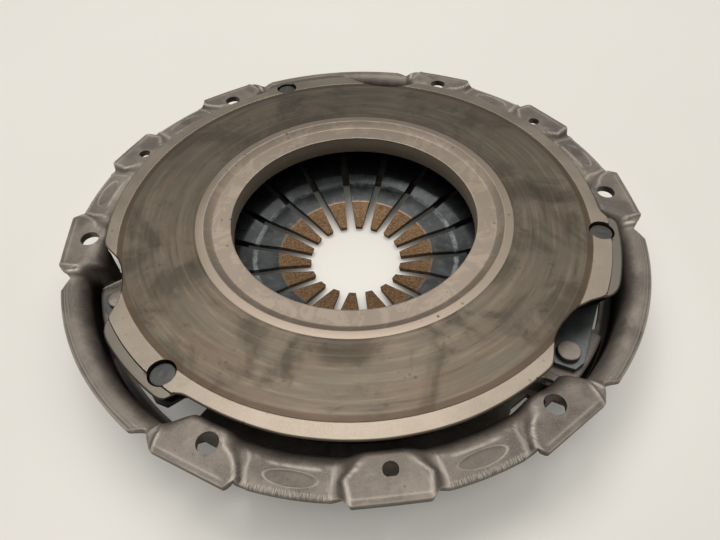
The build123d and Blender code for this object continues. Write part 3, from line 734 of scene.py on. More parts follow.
def build_rivets(sizes, spacer, strap):
    """Spacer rivets that hold the spring to the cover, and the strap rivets of the cover and of the lugs."""
    stem = [(3.5, -14.17), (3.5, -24.6), (2.8, -24.62), (2.8, -28.1)]
    profile = rivet_profile(-11.57, -14.17, 6.8, stem, -28.12, 5.3, -30.3, 0.35)
    for index in range(SPACERS):
        build_turned(
            f"spacer_rivet_shape_{index + 1}", profile, 40,
            at(SPACER_CIRCLE, FIRST_SPACER + index * 360 / SPACERS), COVER_BODY, f"spacer_rivet_{index + 1}",
            spacer,
        )
    on_cover = rivet_profile(-10.9, -13.3, 5.25, [(3.0, -13.3), (3.0, -19.2)], -19.22, 4.6, -21.5, 0.22)
    dimple = sizes.rivet_dimple / MM
    on_plate = rivet_profile(3.35, 0.5, 5.45, [(3.0, 0.5), (3.0, -9.2)], -9.22, 4.6, -11.5, 0.12, dimple)
    for index, pocket in enumerate(POCKETS, 1):
        build_turned(
            f"cover_strap_rivet_{index}", on_cover, 40, at(STRAP_CIRCLE, pocket - STRAP_TURN), COVER_BODY,
            f"strap_rivet_cover_{index}", strap,
        )
        build_turned(
            f"lug_rivet_{index}", on_plate, 48, at(STRAP_CIRCLE, pocket + STRAP_TURN), PLATE_BODY,
            f"strap_rivet_plate_{index}", strap,
        )


LEAVES, LEAF_PITCH, LEAF_SHEET = 3, 0.8, 0.77
LEAF_LOW, LEAF_HIGH = -13.3, -6.82  # upper face of the top leaf on the cover's seat and under the lug
LEAF_LINE = 117.84  # distance of the straps' middle line from the axis
LEAF_HALF, LEAF_CUT = 7.5, 3.0  # half the leaf's width, and how much of it the end corners lose
LEAF_BEND = 20.0  # how far from its middle the S of a leaf reaches


def build_straps(material):
    """Three packs of three spring-steel leaves. A leaf's height over its length is flat, a smooth S and flat,
    and its corners are cut off at both ends."""
    end, tip = np.linspace(34, 39, 5), np.linspace(21, 33, 7)
    bend = np.linspace(-LEAF_BEND, LEAF_BEND, 41)
    along = np.concatenate([-end[::-1], -tip[::-1], bend, tip, end])
    half = LEAF_HALF - LEAF_CUT * np.clip((np.abs(along) - 34) / 5, 0, 1)
    side = np.linspace(-1, 1, 9)
    u = LEAF_LINE + half[:, None] * side
    v = along[:, None] + 0 * u
    for index, pocket in enumerate(POCKETS, 1):
        c, s = at(1.0, pocket)
        start, stop = (
            ((LEAF_LINE * c - w * s) * MM, (LEAF_LINE * s + w * c) * MM, 0.0) for w in (-LEAF_BEND, LEAF_BEND)
        )
        for leaf in range(LEAVES):
            z = mix(LEAF_LOW, LEAF_HIGH, ease(-LEAF_BEND, LEAF_BEND, v)) - LEAF_PITCH * leaf
            points = np.stack([u * c - v * s, u * s + v * c, z], -1).reshape(-1, 3)
            quads = grid_quads(len(along), len(side), closed_columns=False)[:, ::-1]
            points, quads = thicken(points, quads, LEAF_SHEET, np.array([0.0, 0.0, 1.0]))
            piece = make_piece(
                f"strap_{index}_sheet_{leaf + 1}", points, [quads], None, f"strap_{index}_leaf_{leaf + 1}",
                material,
            )
            round_edges(piece, 0.12, 1)
            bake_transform(piece)


# ---------------------------------------------------------------- shader values and nodes
class Value:
    """An output in a shader tree. The signs +, -, * and / each add a Math node."""

    def __init__(self, socket):
        self.socket = socket
        self.tree = socket.id_data

    def __add__(self, other):
        return maths("ADD", self, other)

    def __sub__(self, other):
        return maths("SUBTRACT", self, other)

    def __rsub__(self, other):
        return maths("SUBTRACT", other, self)

    def __mul__(self, other):
        return maths("MULTIPLY", self, other)

    def __truediv__(self, other):
        return maths("DIVIDE", self, other)


def plug(value, socket):
    """Links a Value to an input, or sets a plain number, vector or colour on it."""
    if isinstance(value, Value):
        value.tree.links.new(value.socket, socket)
    elif socket.type == "RGBA":
        socket.default_value = (*value[:3], 1.0)
    else:
        socket.default_value = value


def node(tree, kind, output, settings=None, **inputs):
    """Adds a shader node and gives one of its outputs.
    An underscore in an input's name stands for a space, and a name such as i1 picks an input by number."""
    made = tree.nodes.new(kind)
    for key, value in (settings or {}).items():
        setattr(made, key, value)
    for key, value in inputs.items():
        numbered = key[0] == "i" and key[1:].isdigit()
        plug(value, made.inputs[int(key[1:]) if numbered else key.replace("_", " ")])
    return Value(made.outputs[output])


def maths(operation, a, b=0.0, clamp=False):
    """A Math node's result."""
    tree = (a if isinstance(a, Value) else b).tree
    return node(tree, "ShaderNodeMath", 0, {"operation": operation, "use_clamp": clamp}, i0=a, i1=b)


def between(value, low, high):
    """0 below low, 1 above high, smooth between; with low above high it falls from 1 to 0."""
    settings = {"interpolation_type": "SMOOTHSTEP"}
    return node(value.tree, "ShaderNodeMapRange", 0, settings, Value=value, From_Min=low, From_Max=high)


def tint(share, a, b):
    """Colour a where share is 0 and b where it is 1."""
    tree = next(value.tree for value in (share, a, b) if isinstance(value, Value))
    return node(tree, "ShaderNodeMix", 2, {"data_type": "RGBA"}, i0=share, i6=a, i7=b)


def layered(shade, *layers):
    """A colour with others laid over it in turn, each given as (share, colour)."""
    for share, colour in layers:
        shade = tint(share, shade, colour)
    return shade


def noise(place, scale, detail=2.0, roughness=0.5, warp=0.0):
    """Noise from 0 to 1 at a scale per unit of the place, warped by noise of its own."""
    return node(
        place.tree, "ShaderNodeTexNoise", 0, Vector=place, Scale=scale, Detail=detail, Roughness=roughness,
        Distortion=warp,
    )


def clouds(place, scale, detail, roughness, offset=0.0, warp=0.0):
    """Noise whose place is moved by an offset, so that two of the same scale differ."""
    location = (offset, offset * 0.7, offset * 1.3)
    moved = node(place.tree, "ShaderNodeMapping", 0, Vector=place, Location=location)
    return noise(moved, scale, detail, roughness, warp)


def split(place):
    """The x, y and z of a place."""
    return [node(place.tree, "ShaderNodeSeparateXYZ", axis, Vector=place) for axis in range(3)]


def join(tree, x, y, z=0.0):
    """A place from x, y and z."""
    return node(tree, "ShaderNodeCombineXYZ", 0, X=x, Y=y, Z=z)


def reach_of(x, y):
    """sqrt(x^2 + y^2)."""
    return maths("SQRT", x * x + y * y)


def painted(tree, name):
    """A number that a piece's mesh carries at each of its points."""
    return node(tree, "ShaderNodeAttribute", "Fac", {"attribute_name": name})


# ---------------------------------------------------------------- shader node groups
def new_group(name, outputs, **numbers):
    """A shader node group with a Place input, a number input for each default given, and number outputs."""
    tree = bpy.data.node_groups.new(name, "ShaderNodeTree")
    tree.interface.new_socket("Place", in_out="INPUT", socket_type="NodeSocketVector")
    for label, default in numbers.items():
        made = tree.interface.new_socket(label, in_out="INPUT", socket_type="NodeSocketFloat")
        made.default_value = default
    for label in outputs:
        tree.interface.new_socket(label, in_out="OUTPUT", socket_type="NodeSocketFloat")
    given = {socket.name: Value(socket) for socket in tree.nodes.new("NodeGroupInput").outputs if socket.name}
    return tree, given, tree.nodes.new("NodeGroupOutput").inputs


def use_group(effect, place, **inputs):
    """Places an effect's group in the tree of a place, and gives its outputs by name. An effect is a
    function that builds the group under the name it is given, which it does once."""
    name = effect.__name__.replace("_", " ").title()
    made = place.tree.nodes.new("ShaderNodeGroup")
    made.node_tree = bpy.data.node_groups.get(name) or effect(name)
    for key, value in {"Place": place, **inputs}.items():
        plug(value, made.inputs[key])
    return {socket.name: Value(socket) for socket in made.outputs}


def polar_place(name):
    """Distance from the axis, turn round it (-0.5 to 0.5 of a turn) and height."""
    tree, given, out = new_group(name, ["Radius", "Turn", "Height"])
    x, y, z = split(given["Place"])
    plug(reach_of(x, y), out["Radius"])
    plug(maths("ARCTAN2", y, x) / (2 * np.pi), out["Turn"])
    plug(z, out["Height"])
    return tree


def lathe_rings(name):
    """Fine concentric rings left by turning: noise over the radius that changes slowly round the axis."""
    tree, given, out = new_group(name, ["Rings"], Radius=0.0, Pitch=900.0, Wander=0.3)
    slow = noise(given["Place"], 18.0)
    place = join(tree, given["Radius"] * given["Pitch"], slow * given["Wander"])
    plug(noise(place, 1.0, 3.0, 0.65), out["Rings"])
    return tree


def metal_grain(name):
    """Tone and height of bare worn metal: fine speckle, soft clouds, and small dark pits in the clouds."""
    outputs = ["Speckle", "Clouds", "Pit Mask", "Height"]
    tree, given, out = new_group(name, outputs, Speckle=1400.0, Cloud=45.0, Pits=260.0)
    place = given["Place"]
    fine = noise(place, given["Speckle"])
    soft = noise(place, given["Cloud"], 5.0, 0.6)
    spots = node(
        tree, "ShaderNodeTexVoronoi", "Distance", {"feature": "F1"}, Vector=place, Scale=given["Pits"],
        Randomness=1.0,
    )
    pits = (1.0 - between(spots, 0.10, 0.20)) * between(soft, 0.52, 0.66)
    for label, value in zip(outputs, (fine, soft, pits, fine * 0.35 - pits)):
        plug(value, out[label])
    return tree


def coined_ovals(name):
    """The oval lands between the pads: the angle is folded to its distance from the nearest dowel, and the
    land is where that distance and the radius lie within an ellipse, with a thin line round it. Along is
    the distance along the strap of the nearest pocket."""
    tree, given, out = new_group(name, ["Line", "Land", "Along"])
    x, y, z = split(given["Place"])
    turn = maths("ARCTAN2", y, x) * (180.0 / np.pi)
    psi = node(tree, "ShaderNodeMath", 0, {"operation": "WRAP"}, i0=turn + 30.0, i1=60.0, i2=-60.0)
    away = 60.0 - maths("ABSOLUTE", psi + OUTLINE_TURN)
    radius = reach_of(x, y) * 1000.0
    plug(radius * maths("SINE", psi * (np.pi / 180.0)), out["Along"])
    angle, half_width, land_radius, half_height = LAND
    reach = reach_of((away - angle) / half_width, (radius - land_radius) / half_height)
    above = between(z, -0.0045, -0.0035)
    plug(between(reach, 0.90, 0.97) * between(reach, 1.07, 1.0) * above, out["Line"])
    plug(between(reach, 0.95, 0.88) * above, out["Land"])
    return tree


def round_streaks(name):
    """Long marks that run round the axis: noise over the radius and over the direction from the axis."""
    tree, given, out = new_group(name, ["Streaks"], Across=400.0, Around=2.0, Shift=0.0)
    x, y, _ = split(given["Place"])
    radius = reach_of(x, y)
    away = radius * given["Across"] + given["Shift"]
    place = join(tree, away, x / radius * given["Around"], y / radius * given["Around"])
    plug(noise(place, 1.0, 4.0, 0.6), out["Streaks"])
    return tree


# ---------------------------------------------------------------- materials
def new_material(name):
    """A material with a Principled shader: the material, the shader and the object coordinates."""
    material = bpy.data.materials.new(name)
    material.use_nodes = True
    tree = material.node_tree
    tree.nodes.clear()
    shader = tree.nodes.new("ShaderNodeBsdfPrincipled")
    out = tree.nodes.new("ShaderNodeOutputMaterial")
    tree.links.new(shader.outputs[0], out.inputs["Surface"])
    return material, shader, node(tree, "ShaderNodeTexCoord", "Object")


def finish_material(shader, colour, roughness, metallic, height=None, strength=0.3, depth=0.0002):
    """Feeds the shader: a Value is linked, and a plain number goes on the shader's own socket."""
    for name, value in (("Base Color", colour), ("Roughness", roughness), ("Metallic", metallic)):
        plug(value, shader.inputs[name])
    if height is not None:
        tree = shader.id_data
        bumps = node(tree, "ShaderNodeBump", 0, Height=height, Strength=strength, Distance=depth)
        plug(bumps, shader.inputs["Normal"])


def scaled(colour, factor):
    """A colour with its three values multiplied."""
    return tuple(min(1.0, c * factor) for c in colour[:3])


def shifted(colour, *factors):
    """A colour with each of its values multiplied by its own factor."""
    return tuple(c * factor for c, factor in zip(colour[:3], factors))


def pressed_steel(name, colour, roughness, metallic=0.75, cloud=45.0):
    """Bare pressed steel: soft clouds of tone, fine speckle and small dark pits."""
    material, shader, place = new_material(name)
    grain = use_group(metal_grain, place, Speckle=1700.0, Cloud=cloud, Pits=330.0)
    shade = tint(between(grain["Clouds"], 0.30, 0.72), scaled(colour, 0.70), scaled(colour, 1.24))
    shade = layered(
        shade,
        (between(grain["Speckle"], 0.42, 0.70) * 0.35, scaled(colour, 1.5)),
        (grain["Pit Mask"] * 0.55, scaled(colour, 0.35)),
    )
    rough = grain["Clouds"] * 0.22 + (roughness - 0.10)
    finish_material(shader, shade, rough, metallic, grain["Height"], 0.35, 0.00006)
    return material


def strap_rivet_material(colours):
    """Set rivets: paler on the cover's seats, and darker from the height of the plate's lugs up."""
    material, shader, place = new_material("strap rivets")
    grain = use_group(metal_grain, place, Speckle=1700.0, Cloud=140.0, Pits=330.0)
    on_lug = between(split(place)[2], -0.006, -0.002)
    shade = tint(on_lug, colours.strap_rivet_colour, colours.rivet_colour)
    dull = tint(0.35, shade, (0.0, 0.0, 0.0))
    shade = tint(between(grain["Clouds"], 0.35, 0.65), dull, shade)
    shade = tint(grain["Pit Mask"] * 0.5, shade, scaled(colours.rivet_colour, 0.35))
    finish_material(shader, shade, grain["Clouds"] * 0.2 + 0.34, 0.6, grain["Height"], 0.35, 0.00006)
    return material


DARKENED_LANDS = (133.9, 15.5)  # angles of the lands with a darker round spot on them
DARK_SPOT_R, DARK_SPOT_Z = 137.6, -2.2
TROUGH_SHADE_R, TROUGH_SHADE_Z = (0.1292, 0.1312), (-0.004, -0.015)  # painted shade deepens between these, in metres


def cover_material(colours):
    """The cover's pressed steel: smudged and mottled, rubbed bright on its chamfers and painted with
    highlights along its creases, edges and seat crests, with darker spots on two lands and painted shade in
    the troughs behind the pockets."""
    material, shader, place = new_material("pressed steel")
    tree = place.tree
    polar = use_group(polar_place, place)
    grain = use_group(metal_grain, place, Speckle=1500.0, Cloud=95.0, Pits=420.0)
    oval = use_group(coined_ovals, place)
    smudges = clouds(place, 34.0, 4.0, 0.6, 3.1)
    pale = clouds(place, 58.0, 5.0, 0.65, 7.7, 0.4)
    wear_and_highlight, spoked, inner = (painted(tree, name) for name in ("wear_and_highlight", "spoked", "inner"))
    steel = colours.cover_colour

    shade = tint(between(grain["Clouds"], 0.30, 0.72), scaled(steel, 0.74), scaled(steel, 1.2))
    shade = layered(
        shade,
        (between(smudges, 0.48, 0.64) * 0.7, scaled(steel, 0.5)),
        (between(pale, 0.52, 0.68) * 0.55, scaled(steel, 1.6)),
    )
    for turn in DARKENED_LANDS:
        spot = (*at(DARK_SPOT_R * MM, turn), DARK_SPOT_Z * MM)
        away = node(tree, "ShaderNodeVectorMath", "Value", {"operation": "DISTANCE"}, i0=place, i1=spot)
        dark_spot = 1.0 - between(away + pale * 0.004, 0.0035, 0.0062)
        shade = tint(dark_spot * 0.8, shade, scaled(steel, 0.22))
    shade = layered(
        shade,
        (between(grain["Speckle"], 0.46, 0.68) * 0.25, scaled(steel, 1.75)),
        (grain["Pit Mask"] * 0.6, scaled(steel, 0.3)),
    )

    streaks = noise(join(tree, polar["Turn"] * 2100.0, polar["Radius"] * 260.0), 1.0, 3.0, 0.6)
    patchy = between(streaks, 0.30, 0.70) - grain["Clouds"] * 0.3
    patchy = (patchy - 0.6) * (spoked + 0.3) + 0.85
    # painted highlights along the creases and edges, mixed with real wear on the chamfer
    bright = maths("MULTIPLY", wear_and_highlight, patchy, clamp=True)
    shade = layered(
        shade,
        (bright, colours.wear_and_highlight_colour),
        (oval["Land"] * 0.5, scaled(steel, 0.72)),
        # painted highlight: a thin bright line round each coined land
        (oval["Line"] * between(pale, 0.30, 0.55), scaled(steel, 1.8)),
    )
    # painted highlight along the crest where each strap seat ends
    ridge = between(oval["Along"], -49.2, -48.0) * between(oval["Along"], -45.9, -46.9)
    ridge = ridge * between(polar["Height"], -0.0195, -0.0170) * between(polar["Height"], -0.0150, -0.0155)
    shade = tint(ridge * 0.8, shade, colours.wear_and_highlight_colour)
    # painted shade: darker with depth in the troughs behind the pockets, on the upper skin only
    trough_shade = between(polar["Height"], *TROUGH_SHADE_Z) * between(polar["Radius"], *TROUGH_SHADE_R)
    shade = tint(trough_shade * (inner * 0.88), shade, scaled(steel, 0.05))
    rough = grain["Clouds"] * 0.22 + 0.42 - bright * 0.12
    height = grain["Height"] + streaks * (spoked * 0.8)
    finish_material(shader, shade, rough, 0.62, height, 0.45, 0.00012)
    return material


def turned_iron(colours, radius, grain, tone, stains):
    """Colour of the machined face outside its rubbed band: clouded and speckled, browner on the inner ring,
    paler on that ring's flat, and grey on the strip of the lugs. Also gives where the flat is."""
    face, ring = colours.plate_colour, colours.inner_ring_colour
    shade = tint(tone, scaled(face, 0.80), scaled(face, 1.12))
    shade = layered(
        shade,
        (between(stains, 0.60, 0.72) * 0.35, scaled(face, 0.62)),
        (between(grain["Speckle"], 0.45, 0.7) * 0.2, scaled(face, 1.4)),
    )
    inner_zone = 1.0 - between(radius, BAND_IN, 80.5)
    shade = layered(
        shade,
        (inner_zone * 0.85, ring),
        (inner_zone * (tone * 0.3), scaled(ring, 1.3)),
    )
    flat_zone = between(radius, 76.2, 75.6)
    pale = tint(between(stains, 0.50, 0.58), scaled(ring, 1.15), scaled(ring, 1.45))
    shade = layered(
        shade,
        (flat_zone * 0.8, pale),
        (between(radius, 125.7, 126.1) * 0.85, shifted(face, 0.50, 0.53, 0.55)),
    )
    return shade, flat_zone


def rubbed_iron(colours, place, polar, radius, tone, stains, blots):
    """Colour of the rubbed band: streaks round the axis in light, dark, cool and warm, blotches, dirt, fine
    rings and a brown ring at its outer edge."""
    worn = colours.worn_colour
    long_marks = use_group(round_streaks, place, Across=420.0, Around=2.4, Shift=3.0)["Streaks"]
    wide_marks = use_group(round_streaks, place, Across=110.0, Around=3.2, Shift=8.0)["Streaks"]
    fine_rings = use_group(lathe_rings, place, Radius=polar["Radius"], Pitch=700.0, Wander=0.8)["Rings"]
    shade = tint(tone, scaled(worn, 0.84), scaled(worn, 1.16))
    dirt = between(stains, 0.55, 0.68) * between(blots, 0.44, 0.58)
    shade = layered(
        shade,
        (between(long_marks, 0.48, 0.68) * 0.75, scaled(worn, 1.5)),
        (between(long_marks, 0.46, 0.28) * 0.75, scaled(worn, 0.52)),
        (between(wide_marks, 0.47, 0.62) * 0.5, shifted(worn, 0.90, 0.98, 1.02)),
        (between(wide_marks, 0.48, 0.34) * 0.45, shifted(worn, 1.10, 0.97, 0.92)),
        (between(blots, 0.48, 0.62) * 0.62, scaled(worn, 0.5)),
        (dirt * 0.6, scaled(worn, 0.35)),
        (between(fine_rings, 0.50, 0.72) * 0.35, scaled(worn, 1.4)),
    )
    edge_ring = between(radius, 113.9, 114.9) * (1.0 - between(radius, 117.0, 117.4))
    return tint(edge_ring * (wide_marks * 0.8 + 0.35), shade, shifted(worn, 0.62, 0.52, 0.46))


def plate_material(colours):
    """Machined cast iron with turned rings, its zones set by the distance from the axis: the rubbed band,
    the machined rings on either side, dark cast skin outside and below, and rust on the bore's edge."""
    material, shader, place = new_material("machined iron")
    tree = place.tree
    face, worn = colours.plate_colour, colours.worn_colour
    polar = use_group(polar_place, place)
    radius = polar["Radius"] * 1000.0
    grain = use_group(metal_grain, place, Speckle=1500.0, Cloud=38.0, Pits=210.0)
    rings = use_group(lathe_rings, place, Radius=polar["Radius"], Pitch=1600.0, Wander=0.5)["Rings"]
    blots = clouds(place, 26.0, 5.0, 0.62, 0.7, 0.6)
    stains = clouds(place, 70.0, 6.0, 0.7, 2.3, 1.2)
    tone = between(grain["Clouds"], 0.28, 0.74)
    cast = painted(tree, "cast")
    on_band = between(radius, BAND_IN, 80.4) * (1.0 - between(radius, BAND_OUT, 117.5))
    bore = (1.0 - between(radius, 62.8, 63.0)) * between(polar["Height"], 0.0017, 0.0010)

    machined, flat_zone = turned_iron(colours, radius, grain, tone, stains)
    shade = tint(on_band, machined, rubbed_iron(colours, place, polar, radius, tone, stains, blots))
    shade = layered(
        shade,
        (grain["Pit Mask"] * (0.8 - on_band * 0.4), scaled(worn, 0.25)),
        (cast, scaled(worn, 0.22)),
    )
    rust = maths("MULTIPLY", bore, stains * 0.6 + 0.45, clamp=True)
    shade = tint(rust, shade, shifted(face, 1.25, 1.22, 1.18))
    rough = grain["Clouds"] * 0.14 + 0.30 + cast * 0.3 + between(blots, 0.5, 0.7) * (on_band * 0.12)
    rough = rough + on_band * 0.07 + flat_zone * 0.10
    metal = 0.85 - maths("MAXIMUM", bore * 0.6, flat_zone * 0.25)
    finish_material(shader, shade, rough, metal, rings * 0.5 + grain["Height"] * 0.5, 0.3, 0.00005)
    shader.inputs["Anisotropic"].default_value = 0.55
    round_axis = {"direction_type": "RADIAL", "axis": "Z"}
    plug(node(tree, "ShaderNodeTangent", 0, round_axis), shader.inputs["Tangent"])
    return material


def spring_material(colours):
    """Dark oil-finished spring steel with soft smears, a painted highlight along the fingers near their kink,
    and brown speckled tips with a bright edge where the release bearing runs."""
    material, shader, place = new_material("spring steel")
    steel, worn_tip = colours.spring_colour, colours.tip_colour
    radius = use_group(polar_place, place)["Radius"] * 1000.0
    grain = use_group(metal_grain, place, Speckle=1100.0, Cloud=60.0, Pits=300.0)
    smears = use_group(round_streaks, place, Across=260.0, Around=14.0, Shift=5.0)["Streaks"]
    tone = between(grain["Clouds"], 0.3, 0.7)
    shade = tint(tone, scaled(steel, 0.7), scaled(steel, 1.3))
    shade = tint(between(smears, 0.5, 0.7) * 0.6, shade, scaled(steel, 2.2))
    line = between(radius, 41.4, 41.9) * (1.0 - between(radius, 42.1, 43.0))
    shade = tint(line * smears, shade, scaled(worn_tip, 1.6))
    # painted highlight: a narrow bright band along the fingers near their kink at r 56
    ridge = between(radius, 53.6, 54.6) * between(radius, 57.0, 56.0)
    shade = tint(ridge * between(smears, 0.30, 0.6), shade, scaled(steel, 4.5))
    tips = 1.0 - between(radius + grain["Clouds"] * 1.4, 42.2, 42.7)
    brown = tint(between(grain["Speckle"], 0.38, 0.66), scaled(worn_tip, 0.62), scaled(worn_tip, 1.5))
    shade = tint(tips * 0.94, shade, brown)
    finish_material(shader, shade, tone * 0.10 + 0.24 + tips * 0.3, 0.75, grain["Height"], 0.3, 0.00005)
    return material


def floor_material(colours):
    """A pale smooth table top: nearly even tone with a soft gloss, and clear when seen from below. Where it
    is looked at it has a faint glow of its own, so that shadows on it stay light: weaker in the ring of
    shade under the part, and stronger in its middle and just outside its rim."""
    material, shader, place = new_material("table")
    tree = place.tree
    colour = colours.floor_colour
    shade = tint(between(clouds(place, 3.0, 2.0, 0.55), 0.3, 0.7), scaled(colour, 0.985), scaled(colour, 1.0))
    finish_material(shader, shade, 0.28, 0.0)
    shader.inputs["Specular IOR Level"].default_value = 0.3
    x, y, _ = split(place)
    away = reach_of(x, y)
    shaded = between(away, 0.020, 0.050) * between(away, 0.122, 0.095)
    near = between(away, 0.130, 0.142) * between(away, 0.200, 0.150)
    glow = 0.28 - shaded * 0.22 + between(away, 0.035, 0.015) * 0.12 + near * 0.10
    seen = node(tree, "ShaderNodeLightPath", "Is Camera Ray")
    plug(shade, shader.inputs["Emission Color"])
    plug(seen * glow, shader.inputs["Emission Strength"])
    back = node(tree, "ShaderNodeNewGeometry", "Backfacing")
    clear = node(tree, "ShaderNodeBsdfTransparent", 0)
    both = node(tree, "ShaderNodeMixShader", 0, i0=back, i1=Value(shader.outputs[0]), i2=clear)
    out = next(item for item in tree.nodes if item.type == "OUTPUT_MATERIAL")
    plug(both, out.inputs["Surface"])
    return material


# ---------------------------------------------------------------- settings
def length(name, description, default, low, high):
    """A size in metres for the panel."""
    return FloatProperty(
        name=name, description=description, default=default, min=low, max=high, subtype="DISTANCE",
        unit="LENGTH",
    )


def colour(name, description, *default):
    """A base colour for the panel."""
    return FloatVectorProperty(
        name=name, description=description, subtype="COLOR", size=3, min=0, max=1, default=default,
    )


class ClutchSizes(PropertyGroup):
    """Sizes of the details that the looks add to the frame."""

    coin_depth: length("Coined land", "Depth of the oval lands pressed into the flange", 0.00035, 0.0, 0.0008)
    plate_edge: length("Plate edge", "Rounding of the plate's rim", 0.0008, 0.0002, 0.0015)
    finger_edge: length("Finger edge", "Rounding along the spring's fingers", 0.0004, 0.0001, 0.0008)
    rivet_dimple: length("Rivet dimple", "Depth of the dimple in the lug rivets' heads", 0.00015, 0.0, 0.001)
    floor_size: length("Table width", "Width of the table under the assembly", 6.0, 1.0, 20.0)


class ClutchColours(PropertyGroup):
    """Base colours of the finishes, and the brightness of the light."""

    cover_colour: colour("Cover", "Pressed steel of the cover", 0.160, 0.139, 0.116)
    # this colour paints both wear on the cover's chamfers and highlights along its creases, edges and seat
    # crests
    wear_and_highlight_colour: colour("Rubbed steel", "Creases of the cover rubbed bright by handling", 0.50, 0.455, 0.39)
    plate_colour: colour("Plate", "Machined iron outside the rubbed band", 0.214, 0.184, 0.145)
    inner_ring_colour: colour("Inner ring", "Machined iron inside the rubbed band", 0.200, 0.166, 0.130)
    worn_colour: colour("Rubbed band", "Iron rubbed by the clutch disc", 0.102, 0.084, 0.062)
    spring_colour: colour("Spring", "Spring steel", 0.036, 0.040, 0.040)
    tip_colour: colour("Finger tips", "Worn tips of the fingers", 0.150, 0.088, 0.042)
    strap_colour: colour("Straps", "Blued leaves of the drive straps", 0.080, 0.092, 0.088)
    rivet_colour: colour("Lug rivets", "Rivets that hold the straps to the plate", 0.055, 0.056, 0.053)
    strap_rivet_colour: colour("Cover rivets", "Rivets from the straps to the cover", 0.260, 0.220, 0.185)
    spacer_colour: colour("Spacer rivets", "Rivets and wires that hold the spring", 0.19, 0.165, 0.135)
    floor_colour: colour("Table", "Top of the table", 0.59, 0.578, 0.532)
    light: FloatProperty(
        name="Light", description="Brightness of the lamps, as a share of the usual level",
        default=1.0, min=0.1, max=3.0,
    )


# ---------------------------------------------------------------- stage
TABLE_Z = -0.0362  # just under the lowest point of the part
# name, place, width, power in watts, colour
LAMPS = [
    ("high lamp behind", (-0.08, 0.58, 1.34), 0.7, 6.5, (1.0, 0.955, 0.94)),
    ("left fill", (-0.8, 0.4, 1.8), 1.0, 6.5, (1.0, 0.97, 0.95)),
    ("right fill", (0.8, 0.65, 1.5), 0.9, 4.2, (1.0, 0.97, 0.95)),
]
CAMERA_PLACE = (-0.01477, -0.21154, 0.20088)
CAMERA_BACK = (-0.0521, -0.6527, 0.7558)  # from the part towards the camera
CAMERA_ROLL = -2.016
CAMERA_LENS, CAMERA_SENSOR = 28.14, 36.0


def add_object(name, data):
    """An object in the scene that holds the data."""
    made = bpy.data.objects.new(name, data)
    bpy.context.scene.collection.objects.link(made)
    return made


def build_table(width, material):
    """A flat square table top."""
    mesh = bpy.data.meshes.new("table")
    corners = [(x * width / 2, y * width / 2, TABLE_Z) for x, y in ((-1, -1), (1, -1), (1, 1), (-1, 1))]
    mesh.from_pydata(corners, [], [(0, 1, 2, 3)])
    mesh.materials.append(material)
    return add_object("table", mesh)


def build_lamp(name, place, width, power, colour):
    """A round area lamp that faces the middle of the part."""
    lamp = bpy.data.lights.new(name, "AREA")
    lamp.shape = "DISK"
    lamp.size = width
    lamp.energy = power
    lamp.color = colour
    holder = add_object(name, lamp)
    holder.location = place
    holder.rotation_euler = (-holder.location.normalized()).to_track_quat("-Z", "Y").to_euler()
    return holder


def build_world(light):
    """A soft room: dim near the floor and bright above and behind, and an even pale wall to the camera."""
    world = bpy.data.worlds.new("soft room")
    world.use_nodes = True
    tree = world.node_tree
    sky = tree.nodes["Background"]
    _, y, z = split(node(tree, "ShaderNodeTexCoord", "Generated"))
    room = tint(between(z + y * 0.35, 0.20, 0.95), (0.16, 0.155, 0.15), (1.0, 0.97, 0.94))
    seen = node(tree, "ShaderNodeLightPath", "Is Camera Ray")
    plug(tint(seen, room, (0.86, 0.84, 0.79)), sky.inputs["Color"])
    sky.inputs["Strength"].default_value = 0.80 * light
    return world


def camera_matrix():
    """The camera's matrix: back along the view, right kept level, then a small roll."""
    back = np.array(CAMERA_BACK) / np.linalg.norm(CAMERA_BACK)
    right = np.cross([0.0, 0.0, 1.0], back)
    right /= np.linalg.norm(right)
    up = np.cross(back, right)
    c, s = at(1.0, CAMERA_ROLL)
    matrix = np.eye(4)
    matrix[:3] = np.stack([c * right + s * up, c * up - s * right, back, CAMERA_PLACE], 1)
    return Matrix(matrix.tolist())


def build_camera():
    """The camera that the scene is seen through."""
    camera = bpy.data.cameras.new("camera")
    camera.sensor_width = CAMERA_SENSOR
    camera.lens = CAMERA_LENS
    camera.clip_start = 0.01
    holder = add_object("camera", camera)
    holder.matrix_world = camera_matrix()
    return holder


# ---------------------------------------------------------------- operators
class BuildCover(Operator):
    """Builds the pressed cover with its pockets, pads, seats and openings"""

    bl_idname = "clutch.cover"
    bl_label = "Cover"

    def execute(self, context):
        build_cover(context.scene.clutch_sizes, cover_material(context.scene.clutch_colours))
        return {"FINISHED"}


class BuildPlate(Operator):
    """Builds the cast pressure plate with its lugs and its friction face"""

    bl_idname = "clutch.plate"
    bl_label = "Pressure plate"

    def execute(self, context):
        build_plate(context.scene.clutch_sizes, plate_material(context.scene.clutch_colours))
        return {"FINISHED"}


class BuildSpring(Operator):
    """Builds the diaphragm spring and the two fulcrum wires"""

    bl_idname = "clutch.spring"
    bl_label = "Diaphragm spring"

    def execute(self, context):
        colours = context.scene.clutch_colours
        build_spring(context.scene.clutch_sizes, spring_material(colours))
        build_rings(pressed_steel("fulcrum wire", colours.spacer_colour, 0.35))
        return {"FINISHED"}


class BuildRivets(Operator):
    """Builds the spacer rivets and the strap rivets"""

    bl_idname = "clutch.rivets"
    bl_label = "Rivets"

    def execute(self, context):
        colours = context.scene.clutch_colours
        spacer = pressed_steel("spacer rivets", colours.spacer_colour, 0.36, cloud=120.0)
        build_rivets(context.scene.clutch_sizes, spacer, strap_rivet_material(colours))
        return {"FINISHED"}


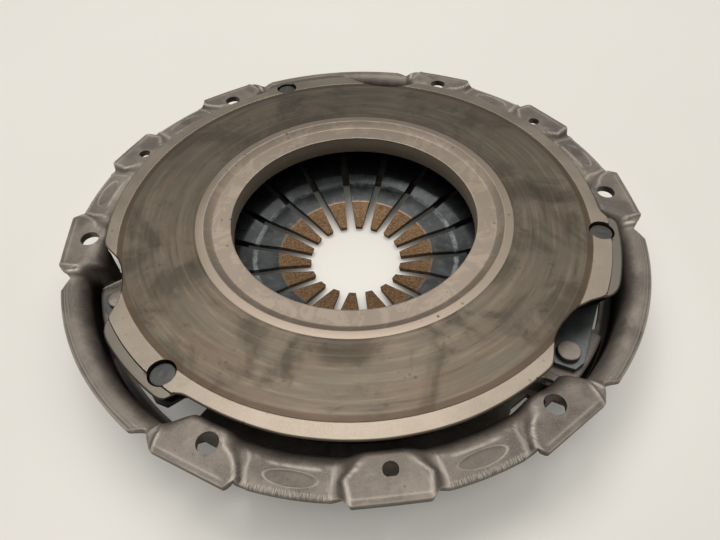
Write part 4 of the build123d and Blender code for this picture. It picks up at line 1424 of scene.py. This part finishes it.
class BuildStraps(Operator):
    """Builds the three packs of drive straps"""

    bl_idname = "clutch.straps"
    bl_label = "Drive straps"

    def execute(self, context):
        colours = context.scene.clutch_colours
        build_straps(pressed_steel("blued strap steel", colours.strap_colour, 0.34, 0.6, 80.0))
        return {"FINISHED"}


class BuildStage(Operator):
    """Sets the table, the lamps, the world and the camera"""

    bl_idname = "clutch.stage"
    bl_label = "Stage"

    def execute(self, context):
        scene = context.scene
        colours = scene.clutch_colours
        table = build_table(scene.clutch_sizes.floor_size, floor_material(colours))
        for name, place, width, power, shade in LAMPS:
            build_lamp(name, place, width, power * colours.light, shade)
        scene.world = build_world(colours.light)
        scene.camera = build_camera()
        scene.view_settings.view_transform = "Standard"
        return {"FINISHED"}


OPERATORS = [BuildCover, BuildPlate, BuildSpring, BuildRivets, BuildStraps, BuildStage]


class ClutchPanel(Panel):
    """Lists the pieces of the clutch pressure plate, with their sizes and colours"""

    bl_idname = "VIEW3D_PT_clutch"
    bl_label = "Clutch pressure plate"
    bl_space_type = "VIEW_3D"
    bl_region_type = "UI"
    bl_category = "Clutch"

    def draw(self, context):
        for group in (context.scene.clutch_sizes, context.scene.clutch_colours):
            for name in group.__annotations__:
                self.layout.prop(group, name)
        for operator in OPERATORS:
            self.layout.operator(operator.bl_idname)


CLASSES = [ClutchSizes, ClutchColours, *OPERATORS, ClutchPanel]


def register():
    """Registers the classes and hangs the settings on the scene."""
    for item in CLASSES:
        bpy.utils.register_class(item)
    bpy.types.Scene.clutch_sizes = PointerProperty(type=ClutchSizes)
    bpy.types.Scene.clutch_colours = PointerProperty(type=ClutchColours)


def unregister():
    """Takes the settings and the classes away again."""
    del bpy.types.Scene.clutch_colours
    del bpy.types.Scene.clutch_sizes
    for item in reversed(CLASSES):
        bpy.utils.unregister_class(item)


def main():
    """Builds every piece and the stage."""
    register()
    for name in ("cover", "plate", "spring", "rivets", "straps", "stage"):
        getattr(bpy.ops.clutch, name)()


if __name__ == "__main__":
    main()
